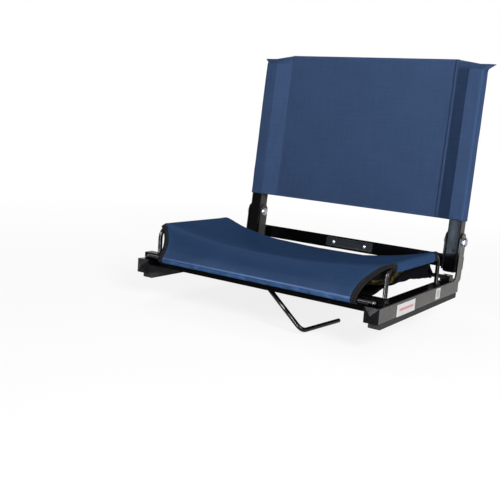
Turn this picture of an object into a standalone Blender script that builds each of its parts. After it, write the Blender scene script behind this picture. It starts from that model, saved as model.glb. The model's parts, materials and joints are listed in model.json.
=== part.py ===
"""Folding stadium seat, in metres, +Z up, front towards -Y, origin under its middle.

Two box-section side rails carry a slung seat on round-rod hoops. The back is cloth over two
uprights that fold forward about one bolt each side, and a hook swings under the front bar.
"""
import math

import bmesh
import bpy
from mathutils import Matrix, Vector

# General
GAP = 0.0003
TUBE = 0.0254
TUBE_WALL = 0.0016
TUBE_CORNER = 0.0022
PLATE = 0.003
ROD_RADIUS = 0.004

# Side rails, their feet and ends
OVERALL_WIDTH = 0.492
RAIL_LENGTH = 0.340
FOOT_HEIGHT = 0.0105
FOOT_WIDTH = 0.0215
FOOT_SETBACK = 0.012
CAP_FLANGE = 0.002
CAP_PEAK = 0.0045
PLUG_DEPTH = 0.012
PLUG_SLACK = 0.0016

# Pivot, ears and gussets
PIVOT_OVERHANG = 0.0043
PIVOT_HEIGHT = 0.1068
LEAN = math.radians(5.3)
EAR_TOP_CENTRE = 0.004
EAR_FILLET = 0.010
EAR_HEEL_DROP = 0.0073
BOLT_RADIUS = 0.00475
BOLT_HEAD_RADIUS = 0.0085
BOLT_HEAD_HEIGHT = 0.0048
SPACER_RADIUS = 0.0095
SPACER_THICKNESS = 0.0008
NUT_FLATS = 0.0143
NUT_HEIGHT = 0.0042
WASHER_THICKNESS = 0.001
GUSSET_BELOW = 0.055

# Uprights and crossbar, measured along the upright from the pivot
UPRIGHT_BELOW = 0.0575
UPRIGHT_ABOVE = 0.3175
CROSSBAR_BELOW = 0.028
CROSSBAR_WIDTH = 0.0254
HANDLE_LENGTH = 0.108
HANDLE_WIDTH = 0.0185
HANDLE_THICKNESS = 0.003
HANDLE_BORDER = 0.0022
HANDLE_RECESS = 0.001
RIVET_INSET = 0.018
RIVET_RADIUS = 0.002
RIVET_HEAD_RADIUS = 0.0036
RIVET_HEAD_HEIGHT = 0.0016

# Front bar, front rod, rear rod and hoops
BAR_FRONT_Y = 0.015
BAR_TOP = 0.046
BAR_BOTTOM = 0.0232
BAR_FLANGE = 0.018
BAR_END_INSET = 0.001
FRONT_ROD_INSET = 0.017
DOME_LENGTH = 0.006
REAR_ROD_INSET = 0.032
REAR_ROD_HEIGHT = 0.042
SADDLE_WIDTH = 0.019
SADDLE_LENGTH = 0.019
SADDLE_HEIGHT = 0.0107
SADDLE_END_WALL = 0.005
SADDLE_REAR_MARGIN = 0.0055
SCREW_RADIUS = 0.0015
SCREW_HEAD_RADIUS = 0.0026
SCREW_HEAD_HEIGHT = 0.0016
SCREW_LENGTH = 0.006
SCREW_SPACING = 0.009
HOOP_INSET = 0.0125
HOOP_FRONT_Y = 0.042
HOOP_REAR_INSET = 0.085
HOOP_HEIGHT = 0.091
HOOP_BEND = 0.020
WELD_RADIUS = 0.0062
WELD_HEIGHT = 0.0035

# Bench hook, in the pose of the photograph
HOOK_OFFSET = 0.0232
HOOK_HEIGHT = 0.031
HOOK_SWING = math.radians(50.3)
HOOK_ARM = 0.1003
HOOK_TAIL = 0.117
HOOK_TAIL_SPLAY = 0.005
HOOK_BEND = 0.012
HOOK_EYE_RADIUS = 0.0078
HOOK_EYE_THICKNESS = 0.0052
HOOK_STANDOFF = 0.0006
STUD_RADIUS = 0.003
STUD_HEAD_RADIUS = 0.006
STUD_HEAD_HEIGHT = 0.0025

# Seat cloth, bindings, pad and sling
SEAT_CLOTH = 0.0016
SEAT_SLACK = 0.0012
SEAT_HEM_INSET = 0.0525
SEAT_FLAP = 0.0085
SEAT_SAG_FRONT = 0.017
SEAT_SAG_REAR = 0.029
SEAT_SAG_START = 0.064
SEAT_FLAP_RUN = 0.027
SEAT_EDGE_CURVE = 2.1
BINDING_WIDTH = 0.010
PAD_INSET = 0.024
PAD_MARGIN_FRONT = 0.010
PAD_MARGIN_REAR = 0.018
PAD_RISE = 0.010
PAD_FRONT_RISE = 0.012
PAD_FRONT_RISE_END = 0.080
PAD_LIP = 0.007
SLING_THICKNESS = 0.002
SLING_INSET = 0.040
SLING_DIP = 0.002

# Back cloth, measured along the upright from the pivot
BACK_CLOTH = 0.001
BACK_BOTTOM = 0.0391
BACK_TOP = 0.343
BACK_PLANE = 0.0037
STITCH_INSET = 0.0611
SEAM_LAP = 0.003
POCKET_SLACK = 0.0018
POCKET_CORNER = 0.004
POCKET_FOLD = 0.0215
EAR_TIP_DROP = 0.008
PANEL_BOW = 0.0015

# Places worked out from the sizes above
HALF = OVERALL_WIDTH / 2
RAIL_X = HALF - TUBE / 2
RAIL_TOP = FOOT_HEIGHT + TUBE
PIVOT_Y = RAIL_LENGTH + PIVOT_OVERHANG
REAR_ROD_Y = RAIL_LENGTH - REAR_ROD_INSET
HOOP_REAR_Y = RAIL_LENGTH - HOOP_REAR_INSET
RIVET_SPACING = HANDLE_LENGTH - 2 * RIVET_INSET
EAR_X = HALF - PLATE / 2
UPRIGHT_X = HALF - PLATE - SPACER_THICKNESS - 2 * GAP - TUBE / 2
GUSSET_X = UPRIGHT_X - TUBE / 2 - GAP - PLATE / 2
HOLE_RADIUS = BOLT_RADIUS + GAP
CROSSBAR_N = TUBE / 2 + GAP + PLATE / 2
CROSSBAR_MIDDLE = -CROSSBAR_BELOW - CROSSBAR_WIDTH / 2
FRONT_ROD_Y = BAR_FRONT_Y - GAP - ROD_RADIUS
FRONT_ROD_HEIGHT = RAIL_TOP + GAP + ROD_RADIUS
SADDLE_X = HALF - BAR_END_INSET - SADDLE_WIDTH / 2 - SCREW_RADIUS
SADDLE_Y = REAR_ROD_Y + ROD_RADIUS + GAP + SADDLE_REAR_MARGIN / 2 - SADDLE_LENGTH / 2
REAR_ROD_HALF = SADDLE_X + SADDLE_WIDTH / 2 - SADDLE_END_WALL
HOOP_X = HALF - HOOP_INSET
FRONT_ROD_HALF = HALF - FRONT_ROD_INSET
SEAT_HEM_HALF = HALF - SEAT_HEM_INSET
PAD_HALF = HALF - PAD_INSET
SLING_HALF = HALF - SLING_INSET
STITCH_HALF = HALF - STITCH_INSET
HOOK_Y = BAR_FRONT_Y + PLATE + HOOK_STANDOFF + ROD_RADIUS
WRAP = ROD_RADIUS + SEAT_SLACK + SEAT_CLOTH / 2
SIDES = ((1, "right"), (-1, "left"))

FACING_X = Matrix(((0, 0, 1), (1, 0, 0), (0, 1, 0))).to_4x4()
FACING_Y = Matrix(((1, 0, 0), (0, 0, -1), (0, 1, 0))).to_4x4()
FACING_Z = Matrix.Identity(4)


def start():
    """Empty the scene and make the two collections."""
    for obj in list(bpy.data.objects):
        bpy.data.objects.remove(obj, do_unlink=True)
    made = []
    for name in ("stadium_chair", "cutters"):
        collection = bpy.data.collections.new(name)
        bpy.context.scene.collection.children.link(collection)
        made.append(collection)
    return made


PARTS, CUTTERS = start()


def material(name, color, roughness, metallic=0.0):
    mat = bpy.data.materials.new(name)
    mat.use_nodes = True
    shader = mat.node_tree.nodes["Principled BSDF"]
    shader.inputs["Base Color"].default_value = (*color, 1.0)
    shader.inputs["Roughness"].default_value = roughness
    shader.inputs["Metallic"].default_value = metallic
    return mat


LOOKS = {
    "black_steel": ((0.012, 0.012, 0.013), 0.28, 0.0),
    "black_plastic": ((0.014, 0.014, 0.015), 0.45, 0.0),
    "rubber": ((0.010, 0.010, 0.010), 0.75, 0.0),
    "zinc": ((0.55, 0.56, 0.58), 0.32, 1.0),
    "grey_plate": ((0.060, 0.062, 0.066), 0.5, 0.4),
    "seat_blue": ((0.022, 0.042, 0.110), 0.6, 0.0),
    "back_blue": ((0.050, 0.085, 0.180), 0.8, 0.0),
    "binding": ((0.030, 0.031, 0.036), 0.85, 0.0),
    "foam": ((0.115, 0.100, 0.045), 0.95, 0.0),
    "sling": ((0.008, 0.008, 0.009), 0.9, 0.0),
}


def place(name, mesh, look, parent, matrix=FACING_Z, collection=PARTS):
    """Link a mesh as an object under its parent; a cutter has no look and so no material."""
    obj = bpy.data.objects.new(name, mesh)
    collection.objects.link(obj)
    if look:
        mesh.materials.clear()
        mesh.materials.append(material(name, *LOOKS[look]))
    obj.parent = parent
    obj.matrix_basis = matrix
    return obj


def empty(name, parent=None, matrix=FACING_Z):
    obj = bpy.data.objects.new(name, None)
    PARTS.objects.link(obj)
    obj.parent = parent
    obj.matrix_basis = matrix
    return obj


def mesh_of(name, bm):
    mesh = bpy.data.meshes.new(name)
    bmesh.ops.recalc_face_normals(bm, faces=bm.faces)
    bm.to_mesh(mesh)
    bm.free()
    return mesh


def smooth(mesh, angle=35):
    mesh.shade_smooth()
    mesh.set_sharp_from_angle(angle=math.radians(angle))
    return mesh


def evaluated(obj):
    """The object's evaluated mesh, welded, with the object itself removed."""
    graph = bpy.context.evaluated_depsgraph_get()
    mesh = bpy.data.meshes.new_from_object(obj.evaluated_get(graph))
    bm = bmesh.new()
    bm.from_mesh(mesh)
    bmesh.ops.remove_doubles(bm, verts=bm.verts, dist=0.00001)
    bmesh.ops.recalc_face_normals(bm, faces=bm.faces)
    bm.to_mesh(mesh)
    bm.free()
    bpy.data.objects.remove(obj, do_unlink=True)
    return mesh


def at(x, y, z, turn=FACING_Z):
    return Matrix.Translation((x, y, z)) @ turn


def box_mesh(size):
    bm = bmesh.new()
    bmesh.ops.create_cube(bm, size=1.0)
    bmesh.ops.scale(bm, verts=bm.verts, vec=size)
    return mesh_of("box", bm)


def cylinder_mesh(radius, depth, segments=24):
    bm = bmesh.new()
    bmesh.ops.create_cone(bm, cap_ends=True, segments=segments, radius1=radius, radius2=radius,
                          depth=depth)
    return smooth(mesh_of("cylinder", bm))


def outline_mesh(loops, thickness):
    """A flat outline, with any holes as further loops, centred on its plane."""
    curve = bpy.data.curves.new("outline", "CURVE")
    curve.dimensions = "2D"
    curve.fill_mode = "BOTH"
    curve.extrude = thickness / 2
    curve.render_resolution_u = 0
    for loop in loops:
        spline = curve.splines.new("POLY")
        spline.points.add(len(loop) - 1)
        spline.use_cyclic_u = True
        for point, (u, v) in zip(spline.points, loop):
            point.co = (u, v, 0.0, 1.0)
    obj = bpy.data.objects.new("outline", curve)
    CUTTERS.objects.link(obj)
    return evaluated(obj)


def rod_mesh(points, radius):
    curve = bpy.data.curves.new("rod", "CURVE")
    curve.dimensions = "3D"
    curve.bevel_depth = radius
    curve.bevel_resolution = 2
    curve.use_fill_caps = True
    curve.render_resolution_u = 0
    spline = curve.splines.new("POLY")
    spline.points.add(len(points) - 1)
    for point, co in zip(spline.points, points):
        point.co = (*co, 1.0)
    obj = bpy.data.objects.new("rod", curve)
    CUTTERS.objects.link(obj)
    return smooth(evaluated(obj), 50)


def turned_mesh(profile, steps=24):
    """A profile of (radius, height) from the top of the axis to its bottom, turned about Z."""
    bm = bmesh.new()
    verts = [bm.verts.new((radius, 0.0, height)) for radius, height in profile]
    for first, second in zip(verts, verts[1:]):
        bm.edges.new((first, second))
    mesh = bpy.data.meshes.new("turned")
    bm.to_mesh(mesh)
    bm.free()
    obj = bpy.data.objects.new("turned", mesh)
    CUTTERS.objects.link(obj)
    screw = obj.modifiers.new("turn", "SCREW")
    screw.steps = steps
    screw.render_steps = steps
    screw.use_merge_vertices = True
    screw.merge_threshold = 0.00001
    return smooth(evaluated(obj))


def cutter(mesh, parent, matrix):
    obj = place("cutter", mesh, None, parent, matrix, CUTTERS)
    obj.hide_render = True
    obj.display_type = "WIRE"
    return obj


def boolean(target, operation, tool):
    modifier = target.modifiers.new(operation.lower(), "BOOLEAN")
    modifier.operation = operation
    modifier.object = tool


def bevel(obj, width, segments=2):
    modifier = obj.modifiers.new("bevel", "BEVEL")
    modifier.width = width
    modifier.segments = segments
    modifier.limit_method = "ANGLE"


def arc(centre, radius, start_deg, end_deg, steps):
    """Points on an arc in a plane, both ends included."""
    angles = [math.radians(start_deg + (end_deg - start_deg) * i / steps) for i in range(steps + 1)]
    return [(centre[0] + radius * math.cos(a), centre[1] + radius * math.sin(a)) for a in angles]


def rounded_rectangle(width, height, radius, steps=3):
    points = []
    for sx, sy, turn in ((1, 1, 0), (-1, 1, 90), (-1, -1, 180), (1, -1, 270)):
        corner = (sx * (width / 2 - radius), sy * (height / 2 - radius))
        points += arc(corner, radius, turn, turn + 90, steps)
    return points


def bent(corners, radius, steps=5):
    """A path through corner points, with each inner corner rounded to the bend radius."""
    corners = [Vector(c) for c in corners]
    path = [corners[0]]
    for before, corner, after in zip(corners, corners[1:], corners[2:]):
        into = (before - corner).normalized()
        out = (after - corner).normalized()
        half = into.angle(out) / 2
        bisector = (into + out).normalized()
        centre = corner + bisector * (radius / math.sin(half))
        start_arm = corner + into * (radius / math.tan(half)) - centre
        end_arm = corner + out * (radius / math.tan(half)) - centre
        turn = start_arm.angle(end_arm)
        for i in range(steps + 1):
            share = i / steps
            arm = start_arm * math.sin((1 - share) * turn) + end_arm * math.sin(share * turn)
            path.append(centre + arm / math.sin(turn))
    path.append(corners[-1])
    return path


def ease(value, low, high):
    share = min(max((value - low) / (high - low), 0.0), 1.0)
    return share * share * (3 - 2 * share)


def leaned(along, rearward):
    """A point (y, z) of the uprights' frame in the chair's frame."""
    y = PIVOT_Y + along * math.sin(LEAN) + rearward * math.cos(LEAN)
    z = PIVOT_HEIGHT + along * math.cos(LEAN) - rearward * math.sin(LEAN)
    return y, z


def square_tube_mesh(length):
    outer = rounded_rectangle(TUBE, TUBE, TUBE_CORNER)
    bore = TUBE - 2 * TUBE_WALL
    inner = rounded_rectangle(bore, bore, TUBE_CORNER - TUBE_WALL)
    return outline_mesh([outer, inner], length)


def square_plug_mesh(outside):
    """A square plug, outside profile above Z = 0 and a spigot below; turned in four steps."""
    corner = math.sqrt(0.5)
    spigot = (TUBE - 2 * TUBE_WALL - 2 * PLUG_SLACK) * corner
    profile = [(half * 2 * corner, height) for half, height in outside]
    profile += [(spigot, -GAP), (spigot, -PLUG_DEPTH), (0.0, -PLUG_DEPTH)]
    mesh = turned_mesh(profile, 4)
    mesh.transform(Matrix.Rotation(math.radians(45), 4, "Z"))
    mesh.shade_flat()
    return mesh


CHAIR = empty("chair")
BACK = empty("back_pivot", CHAIR, at(0, PIVOT_Y, PIVOT_HEIGHT, Matrix.Rotation(-LEAN, 4, "X")))
HOOK = empty("hook_pivot_axis", CHAIR,
             at(HOOK_OFFSET, HOOK_Y, HOOK_HEIGHT, Matrix.Rotation(-HOOK_SWING, 4, "Y")))


def side_rails():
    """Square tubes lying front to rear, each with its pivot ear welded flush outside."""
    half_bar = TUBE / 2
    heel_z = RAIL_TOP - EAR_HEEL_DROP
    eye = leaned(EAR_TOP_CENTRE, 0.0)
    lean_deg = math.degrees(LEAN)
    front_foot = leaned((RAIL_TOP + EAR_FILLET - PIVOT_HEIGHT) / math.cos(LEAN), -half_bar)
    rear_foot = leaned((RAIL_TOP - PIVOT_HEIGHT) / math.cos(LEAN), half_bar)
    fillet_centre = (front_foot[0] - EAR_FILLET, front_foot[1])
    outline = [(RAIL_LENGTH - TUBE_CORNER, heel_z), (RAIL_LENGTH, heel_z), rear_foot]
    outline += arc(eye, half_bar, -lean_deg, 180 - lean_deg, 12)
    outline += arc(fillet_centre, EAR_FILLET, 0, -90, 5)
    outline += [(fillet_centre[0], RAIL_TOP - TUBE_CORNER)]
    hole = arc((PIVOT_Y, PIVOT_HEIGHT), HOLE_RADIUS, 0, 345, 23)
    tube = square_tube_mesh(RAIL_LENGTH)
    ear = outline_mesh([outline, hole], PLATE)
    for sign, side in SIDES:
        rail = place(f"side_rail_{side}", tube.copy(), "black_steel", CHAIR,
                     at(sign * RAIL_X, RAIL_LENGTH / 2, FOOT_HEIGHT + TUBE / 2, FACING_Y))
        tool = cutter(ear.copy(), CHAIR, at(sign * EAR_X, 0, 0, FACING_X))
        boolean(rail, "UNION", tool)


def rail_ends():
    """Plastic caps in the rails' ends; the rear ones are notched round the ears' heels."""
    half = TUBE / 2
    front = square_plug_mesh([(0.0, CAP_FLANGE + CAP_PEAK), (half * 0.86, CAP_FLANGE),
                              (half, CAP_FLANGE * 0.6), (half, GAP), (half * 0.7, GAP)])
    rear = square_plug_mesh([(0.0, CAP_FLANGE), (half * 0.9, CAP_FLANGE),
                             (half, CAP_FLANGE * 0.4), (half, GAP), (half * 0.7, GAP)])
    height = FOOT_HEIGHT + half
    notch_x = PLATE + GAP
    notch_z = EAR_HEEL_DROP + GAP
    for sign, side in SIDES:
        place(f"front_cap_{side}", front.copy(), "black_plastic", CHAIR,
              at(sign * RAIL_X, 0, height, Matrix.Rotation(math.radians(90), 4, "X")))
        cap = place(f"rear_cap_{side}", rear.copy(), "black_plastic", CHAIR,
                    at(sign * RAIL_X, RAIL_LENGTH, height, Matrix.Rotation(math.radians(-90), 4, "X")))
        notch = cutter(box_mesh((2 * notch_x, 4 * CAP_FLANGE, 2 * notch_z)), CHAIR,
                       at(sign * HALF, RAIL_LENGTH + 2 * CAP_FLANGE, RAIL_TOP))
        boolean(cap, "DIFFERENCE", notch)


def feet():
    """Rubber strips under the rails, set back from their front ends."""
    length = RAIL_LENGTH - FOOT_SETBACK
    thick = FOOT_HEIGHT - GAP
    for sign, side in SIDES:
        strip = place(f"foot_strip_{side}", box_mesh((FOOT_WIDTH, length, thick)), "rubber", CHAIR,
                      at(sign * RAIL_X, FOOT_SETBACK + length / 2, thick / 2))
        bevel(strip, 0.0008, 1)


def front_bar():
    """Steel angle across the rails, its web notched over them."""
    web_x = OVERALL_WIDTH - 2 * BAR_END_INSET
    inner_z = BAR_TOP - PLATE
    inner_y = BAR_FRONT_Y + PLATE
    section = [(BAR_FRONT_Y, BAR_BOTTOM), (inner_y, BAR_BOTTOM), (inner_y, inner_z),
               (BAR_FRONT_Y + BAR_FLANGE, inner_z), (BAR_FRONT_Y + BAR_FLANGE, BAR_TOP),
               (BAR_FRONT_Y, BAR_TOP)]
    bar = place("front_bar", outline_mesh([section], web_x), "black_steel", CHAIR, FACING_X)
    notch_top = RAIL_TOP + GAP
    notch_height = notch_top - BAR_BOTTOM + PLATE
    notch_width = TUBE + 2 * GAP
    for sign, side in SIDES:
        notch = box_mesh((notch_width, 3 * PLATE, notch_height))
        tool = cutter(notch, CHAIR, at(sign * RAIL_X, BAR_FRONT_Y + PLATE / 2,
                                       notch_top - notch_height / 2))
        boolean(bar, "DIFFERENCE", tool)


def rods():
    """Front rod against the bar with bright domes on its ends, and the rear rod in saddles."""
    front = [(-FRONT_ROD_HALF, 0, 0), (FRONT_ROD_HALF, 0, 0)]
    place("front_rod", rod_mesh(front, ROD_RADIUS), "black_steel", CHAIR,
          at(0, FRONT_ROD_Y, FRONT_ROD_HEIGHT))
    straight = DOME_LENGTH - ROD_RADIUS
    profile = [(x, straight + z) for x, z in arc((0, 0), ROD_RADIUS, 90, 0, 5)]
    profile[0] = (0.0, DOME_LENGTH)
    dome = turned_mesh(profile + [(ROD_RADIUS, GAP), (0.0, GAP)], 16)
    for sign, side in SIDES:
        turn = Matrix.Rotation(math.radians(90 * sign), 4, "Y")
        place(f"front_rod_dome_{side}", dome.copy(), "zinc", CHAIR,
              at(sign * FRONT_ROD_HALF, FRONT_ROD_Y, FRONT_ROD_HEIGHT, turn))
    rear = [(-REAR_ROD_HALF, 0, 0), (REAR_ROD_HALF, 0, 0)]
    place("rear_rod", rod_mesh(rear, ROD_RADIUS), "black_steel", CHAIR,
          at(0, REAR_ROD_Y, REAR_ROD_HEIGHT))


def saddles():
    """Blocks on the rails that hold the rear rod's ends, with two screws in each."""
    base = RAIL_TOP + GAP
    screw_y = SADDLE_Y - SADDLE_LENGTH / 2 + SCREW_HEAD_RADIUS + 2 * SCREW_RADIUS
    top = base + SADDLE_HEIGHT
    screw = turned_mesh([(0.0, SCREW_HEAD_HEIGHT), (SCREW_HEAD_RADIUS * 0.6, SCREW_HEAD_HEIGHT * 0.85),
                         (SCREW_HEAD_RADIUS, GAP), (SCREW_RADIUS, GAP),
                         (SCREW_RADIUS, -SCREW_LENGTH), (0.0, -SCREW_LENGTH)], 12)
    for sign, side in SIDES:
        block = place(f"rod_saddle_{side}", box_mesh((SADDLE_WIDTH, SADDLE_LENGTH, SADDLE_HEIGHT)),
                      "black_plastic", CHAIR, at(sign * SADDLE_X, SADDLE_Y, base + SADDLE_HEIGHT / 2))
        bevel(block, 0.001, 1)
        depth = SADDLE_WIDTH - SADDLE_END_WALL + GAP
        bore_x = SADDLE_X - SADDLE_WIDTH / 2 + depth / 2
        bore = cylinder_mesh(ROD_RADIUS + GAP, depth + 2 * GAP)
        bore_at = at(sign * (bore_x - GAP), REAR_ROD_Y, REAR_ROD_HEIGHT,
                     Matrix.Rotation(math.radians(90), 4, "Y"))
        boolean(block, "DIFFERENCE", cutter(bore, CHAIR, bore_at))
        for step, name in ((-0.5, "inner"), (0.5, "outer")):
            x = sign * (SADDLE_X + step * SCREW_SPACING)
            hole = cylinder_mesh(SCREW_RADIUS + GAP, 2 * SCREW_LENGTH + 2 * GAP, 12)
            boolean(block, "DIFFERENCE", cutter(hole, CHAIR, at(x, screw_y, top)))
            place(f"saddle_screw_{side}_{name}", screw.copy(), "zinc", CHAIR, at(x, screw_y, top))


def hoops():
    """Round-rod hoops on the rails that hold up the seat's sides."""
    base = RAIL_TOP + GAP
    corners = [(0, HOOP_FRONT_Y, base), (0, HOOP_FRONT_Y, HOOP_HEIGHT),
               (0, HOOP_REAR_Y, HOOP_HEIGHT), (0, HOOP_REAR_Y, base)]
    hoop = rod_mesh(bent(corners, HOOP_BEND), ROD_RADIUS)
    weld = turned_mesh([(0.0, WELD_HEIGHT), (ROD_RADIUS * 0.9, WELD_HEIGHT), (WELD_RADIUS, 0.0008),
                        (WELD_RADIUS, 0.0), (0.0, 0.0)], 12)
    for sign, side in SIDES:
        obj = place(f"seat_hoop_{side}", hoop.copy(), "black_steel", CHAIR,
                    at(sign * HOOP_X, 0, 0))
        for y in (HOOP_FRONT_Y, HOOP_REAR_Y):
            boolean(obj, "UNION", cutter(weld.copy(), CHAIR, at(sign * HOOP_X, y, base)))


def uprights():
    """Back uprights with plugs in their ends and the gusset plates beside them."""
    length = UPRIGHT_BELOW + UPRIGHT_ABOVE
    middle = (UPRIGHT_ABOVE - UPRIGHT_BELOW) / 2
    half = TUBE / 2
    rim = half - TUBE_CORNER / 3
    dome = square_plug_mesh([(0.0, CAP_FLANGE * 1.4), (rim * 0.6, CAP_FLANGE * 1.2),
                             (rim * 0.9, CAP_FLANGE * 0.7), (rim, GAP), (rim * 0.7, GAP)])
    bar = [(-half, -GUSSET_BELOW), (half, -GUSSET_BELOW)]
    bar += arc((0.0, EAR_TOP_CENTRE), half, 0, 180, 12)
    gusset = outline_mesh([bar, arc((0.0, 0.0), HOLE_RADIUS, 0, 345, 23)], PLATE)
    for sign, side in SIDES:
        tube = place(f"upright_{side}", square_tube_mesh(length), "black_steel", BACK,
                     at(sign * UPRIGHT_X, 0, middle))
        bore = cylinder_mesh(HOLE_RADIUS, 2 * TUBE)
        boolean(tube, "DIFFERENCE", cutter(bore, BACK, at(sign * UPRIGHT_X, 0, 0,
                                                          Matrix.Rotation(math.radians(90), 4, "Y"))))
        place(f"upright_top_plug_{side}", dome.copy(), "black_plastic", BACK,
              at(sign * UPRIGHT_X, 0, UPRIGHT_ABOVE))
        place(f"upright_foot_plug_{side}", dome.copy(), "black_plastic", BACK,
              at(sign * UPRIGHT_X, 0, -UPRIGHT_BELOW, Matrix.Rotation(math.radians(180), 4, "X")))
        plate = place(f"gusset_{side}", gusset.copy(), "black_steel", BACK,
                      at(sign * GUSSET_X, 0, 0, FACING_X))
        bevel(plate, 0.0004, 1)


def crossbar():
    """Flat bar behind the uprights, with a handle plate riveted on each face."""
    holes = [arc((sign * RIVET_SPACING / 2, 0.0), RIVET_RADIUS + GAP, 0, 330, 11) for sign in (1, -1)]
    bar = rounded_rectangle(OVERALL_WIDTH, CROSSBAR_WIDTH, 0.0015, 2)
    place("crossbar", outline_mesh([bar] + holes, PLATE), "black_steel", BACK,
          at(0, CROSSBAR_N, CROSSBAR_MIDDLE, FACING_Y))
    plate = rounded_rectangle(HANDLE_LENGTH, HANDLE_WIDTH, 0.0025, 3)
    recess_size = (HANDLE_LENGTH - 2 * HANDLE_BORDER, 2 * HANDLE_RECESS, HANDLE_WIDTH - 2 * HANDLE_BORDER)
    reach = PLATE / 2 + GAP + HANDLE_THICKNESS / 2
    for facing, name in ((-1, "handle_plate_front"), (1, "handle_plate_rear")):
        obj = place(name, outline_mesh([plate] + holes, HANDLE_THICKNESS), "grey_plate", BACK,
                    at(0, CROSSBAR_N + facing * reach, CROSSBAR_MIDDLE, FACING_Y))
        face = CROSSBAR_N + facing * (reach + HANDLE_THICKNESS / 2)
        boolean(obj, "DIFFERENCE", cutter(box_mesh(recess_size), BACK, at(0, face, CROSSBAR_MIDDLE)))
    grip = reach + HANDLE_THICKNESS / 2 - HANDLE_RECESS + GAP
    head = RIVET_HEAD_HEIGHT
    profile = [(0.0, grip + head), (RIVET_HEAD_RADIUS * 0.6, grip + head * 0.8),
               (RIVET_HEAD_RADIUS, grip), (RIVET_RADIUS, grip),
               (RIVET_RADIUS, -grip), (RIVET_HEAD_RADIUS, -grip),
               (RIVET_HEAD_RADIUS * 0.6, -grip - head * 0.8), (0.0, -grip - head)]
    rivet = turned_mesh(profile, 16)
    turn = Matrix.Rotation(math.radians(90), 4, "X")
    for sign, side in SIDES:
        place(f"handle_rivet_{side}", rivet.copy(), "zinc", BACK,
              at(sign * RIVET_SPACING / 2, CROSSBAR_N, CROSSBAR_MIDDLE, turn))


def pivot_hardware():
    """Bolts from inside through gusset, upright and ear, with spacer, washer and nut."""
    head_face = GUSSET_X - PLATE / 2 - GAP
    washer_x = HALF + GAP
    nut_x = washer_x + WASHER_THICKNESS + GAP
    end_x = nut_x + NUT_HEIGHT + 2 * GAP
    shank = end_x - head_face
    crown = [(x, -z) for x, z in arc((0, 0), 1.0, 0, 90, 5)]
    profile = [(0.0, shank), (BOLT_RADIUS * 0.85, shank), (BOLT_RADIUS, shank - 0.0006),
               (BOLT_RADIUS, 0.0)]
    profile += [(BOLT_HEAD_RADIUS * x, BOLT_HEAD_HEIGHT * z) for x, z in crown[:-1]]
    profile += [(0.0, -BOLT_HEAD_HEIGHT)]
    bolt = turned_mesh(profile)
    spacer = outline_mesh([arc((0, 0), SPACER_RADIUS, 0, 345, 23), arc((0, 0), HOLE_RADIUS, 0, 345, 23)],
                          SPACER_THICKNESS)
    washer = outline_mesh([arc((0, 0), SPACER_RADIUS, 0, 345, 23), arc((0, 0), HOLE_RADIUS, 0, 345, 23)],
                          WASHER_THICKNESS)
    corner = NUT_FLATS / math.sqrt(3)
    nut = outline_mesh([arc((0, 0), corner, 0, 300, 5), arc((0, 0), HOLE_RADIUS, 0, 345, 23)], NUT_HEIGHT)
    spacer_x = HALF - PLATE - GAP - SPACER_THICKNESS / 2
    for sign, side in SIDES:
        turn = Matrix.Rotation(math.radians(90 * sign), 4, "Y")
        for name, mesh, look, x in (
                ("pivot_bolt", bolt, "zinc", head_face),
                ("pivot_spacer", spacer, "black_plastic", spacer_x),
                ("pivot_washer", washer, "zinc", washer_x + WASHER_THICKNESS / 2),
                ("pivot_nut", nut, "zinc", nut_x + NUT_HEIGHT / 2)):
            place(f"{name}_{side}", mesh.copy(), look, CHAIR,
                  at(sign * x, PIVOT_Y, PIVOT_HEIGHT, turn))


def hook():
    """Right-angled hook of round rod, its eye on a stud behind the front bar."""
    corners = [(0, 0, -HOOK_EYE_RADIUS * 0.7), (0, 0, -HOOK_ARM),
               (0, HOOK_TAIL, -HOOK_ARM - HOOK_TAIL_SPLAY)]
    obj = place("bench_hook", rod_mesh(bent(corners, HOOK_BEND), ROD_RADIUS), "black_steel", HOOK)
    turn = Matrix.Rotation(math.radians(90), 4, "X")
    boolean(obj, "UNION", cutter(cylinder_mesh(HOOK_EYE_RADIUS, HOOK_EYE_THICKNESS), HOOK,
                                 at(0, 0, 0, turn)))
    boolean(obj, "DIFFERENCE", cutter(cylinder_mesh(STUD_RADIUS + GAP, 4 * HOOK_EYE_THICKNESS), HOOK,
                                      at(0, 0, 0, turn)))
    base = HOOK_STANDOFF + ROD_RADIUS - GAP
    head_at = ROD_RADIUS + GAP
    profile = [(0.0, head_at + STUD_HEAD_HEIGHT), (STUD_HEAD_RADIUS * 0.8, head_at + STUD_HEAD_HEIGHT),
               (STUD_HEAD_RADIUS, head_at + STUD_HEAD_HEIGHT * 0.6), (STUD_HEAD_RADIUS, head_at),
               (STUD_RADIUS, head_at), (STUD_RADIUS, -base), (0.0, -base)]
    place("hook_stud", turned_mesh(profile), "zinc", CHAIR,
          at(HOOK_OFFSET, HOOK_Y, HOOK_HEIGHT, Matrix.Rotation(math.radians(-90), 4, "X")))


def tangent_angle(first, first_radius, second, second_radius):
    """Angle of the outward normal where one line lies over both circles, rear circle second."""
    dy = second[0] - first[0]
    dz = second[1] - first[1]
    lift = math.asin((second_radius - first_radius) / math.hypot(dy, dz))
    return math.atan2(dz, dy) + lift + math.pi / 2


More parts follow.
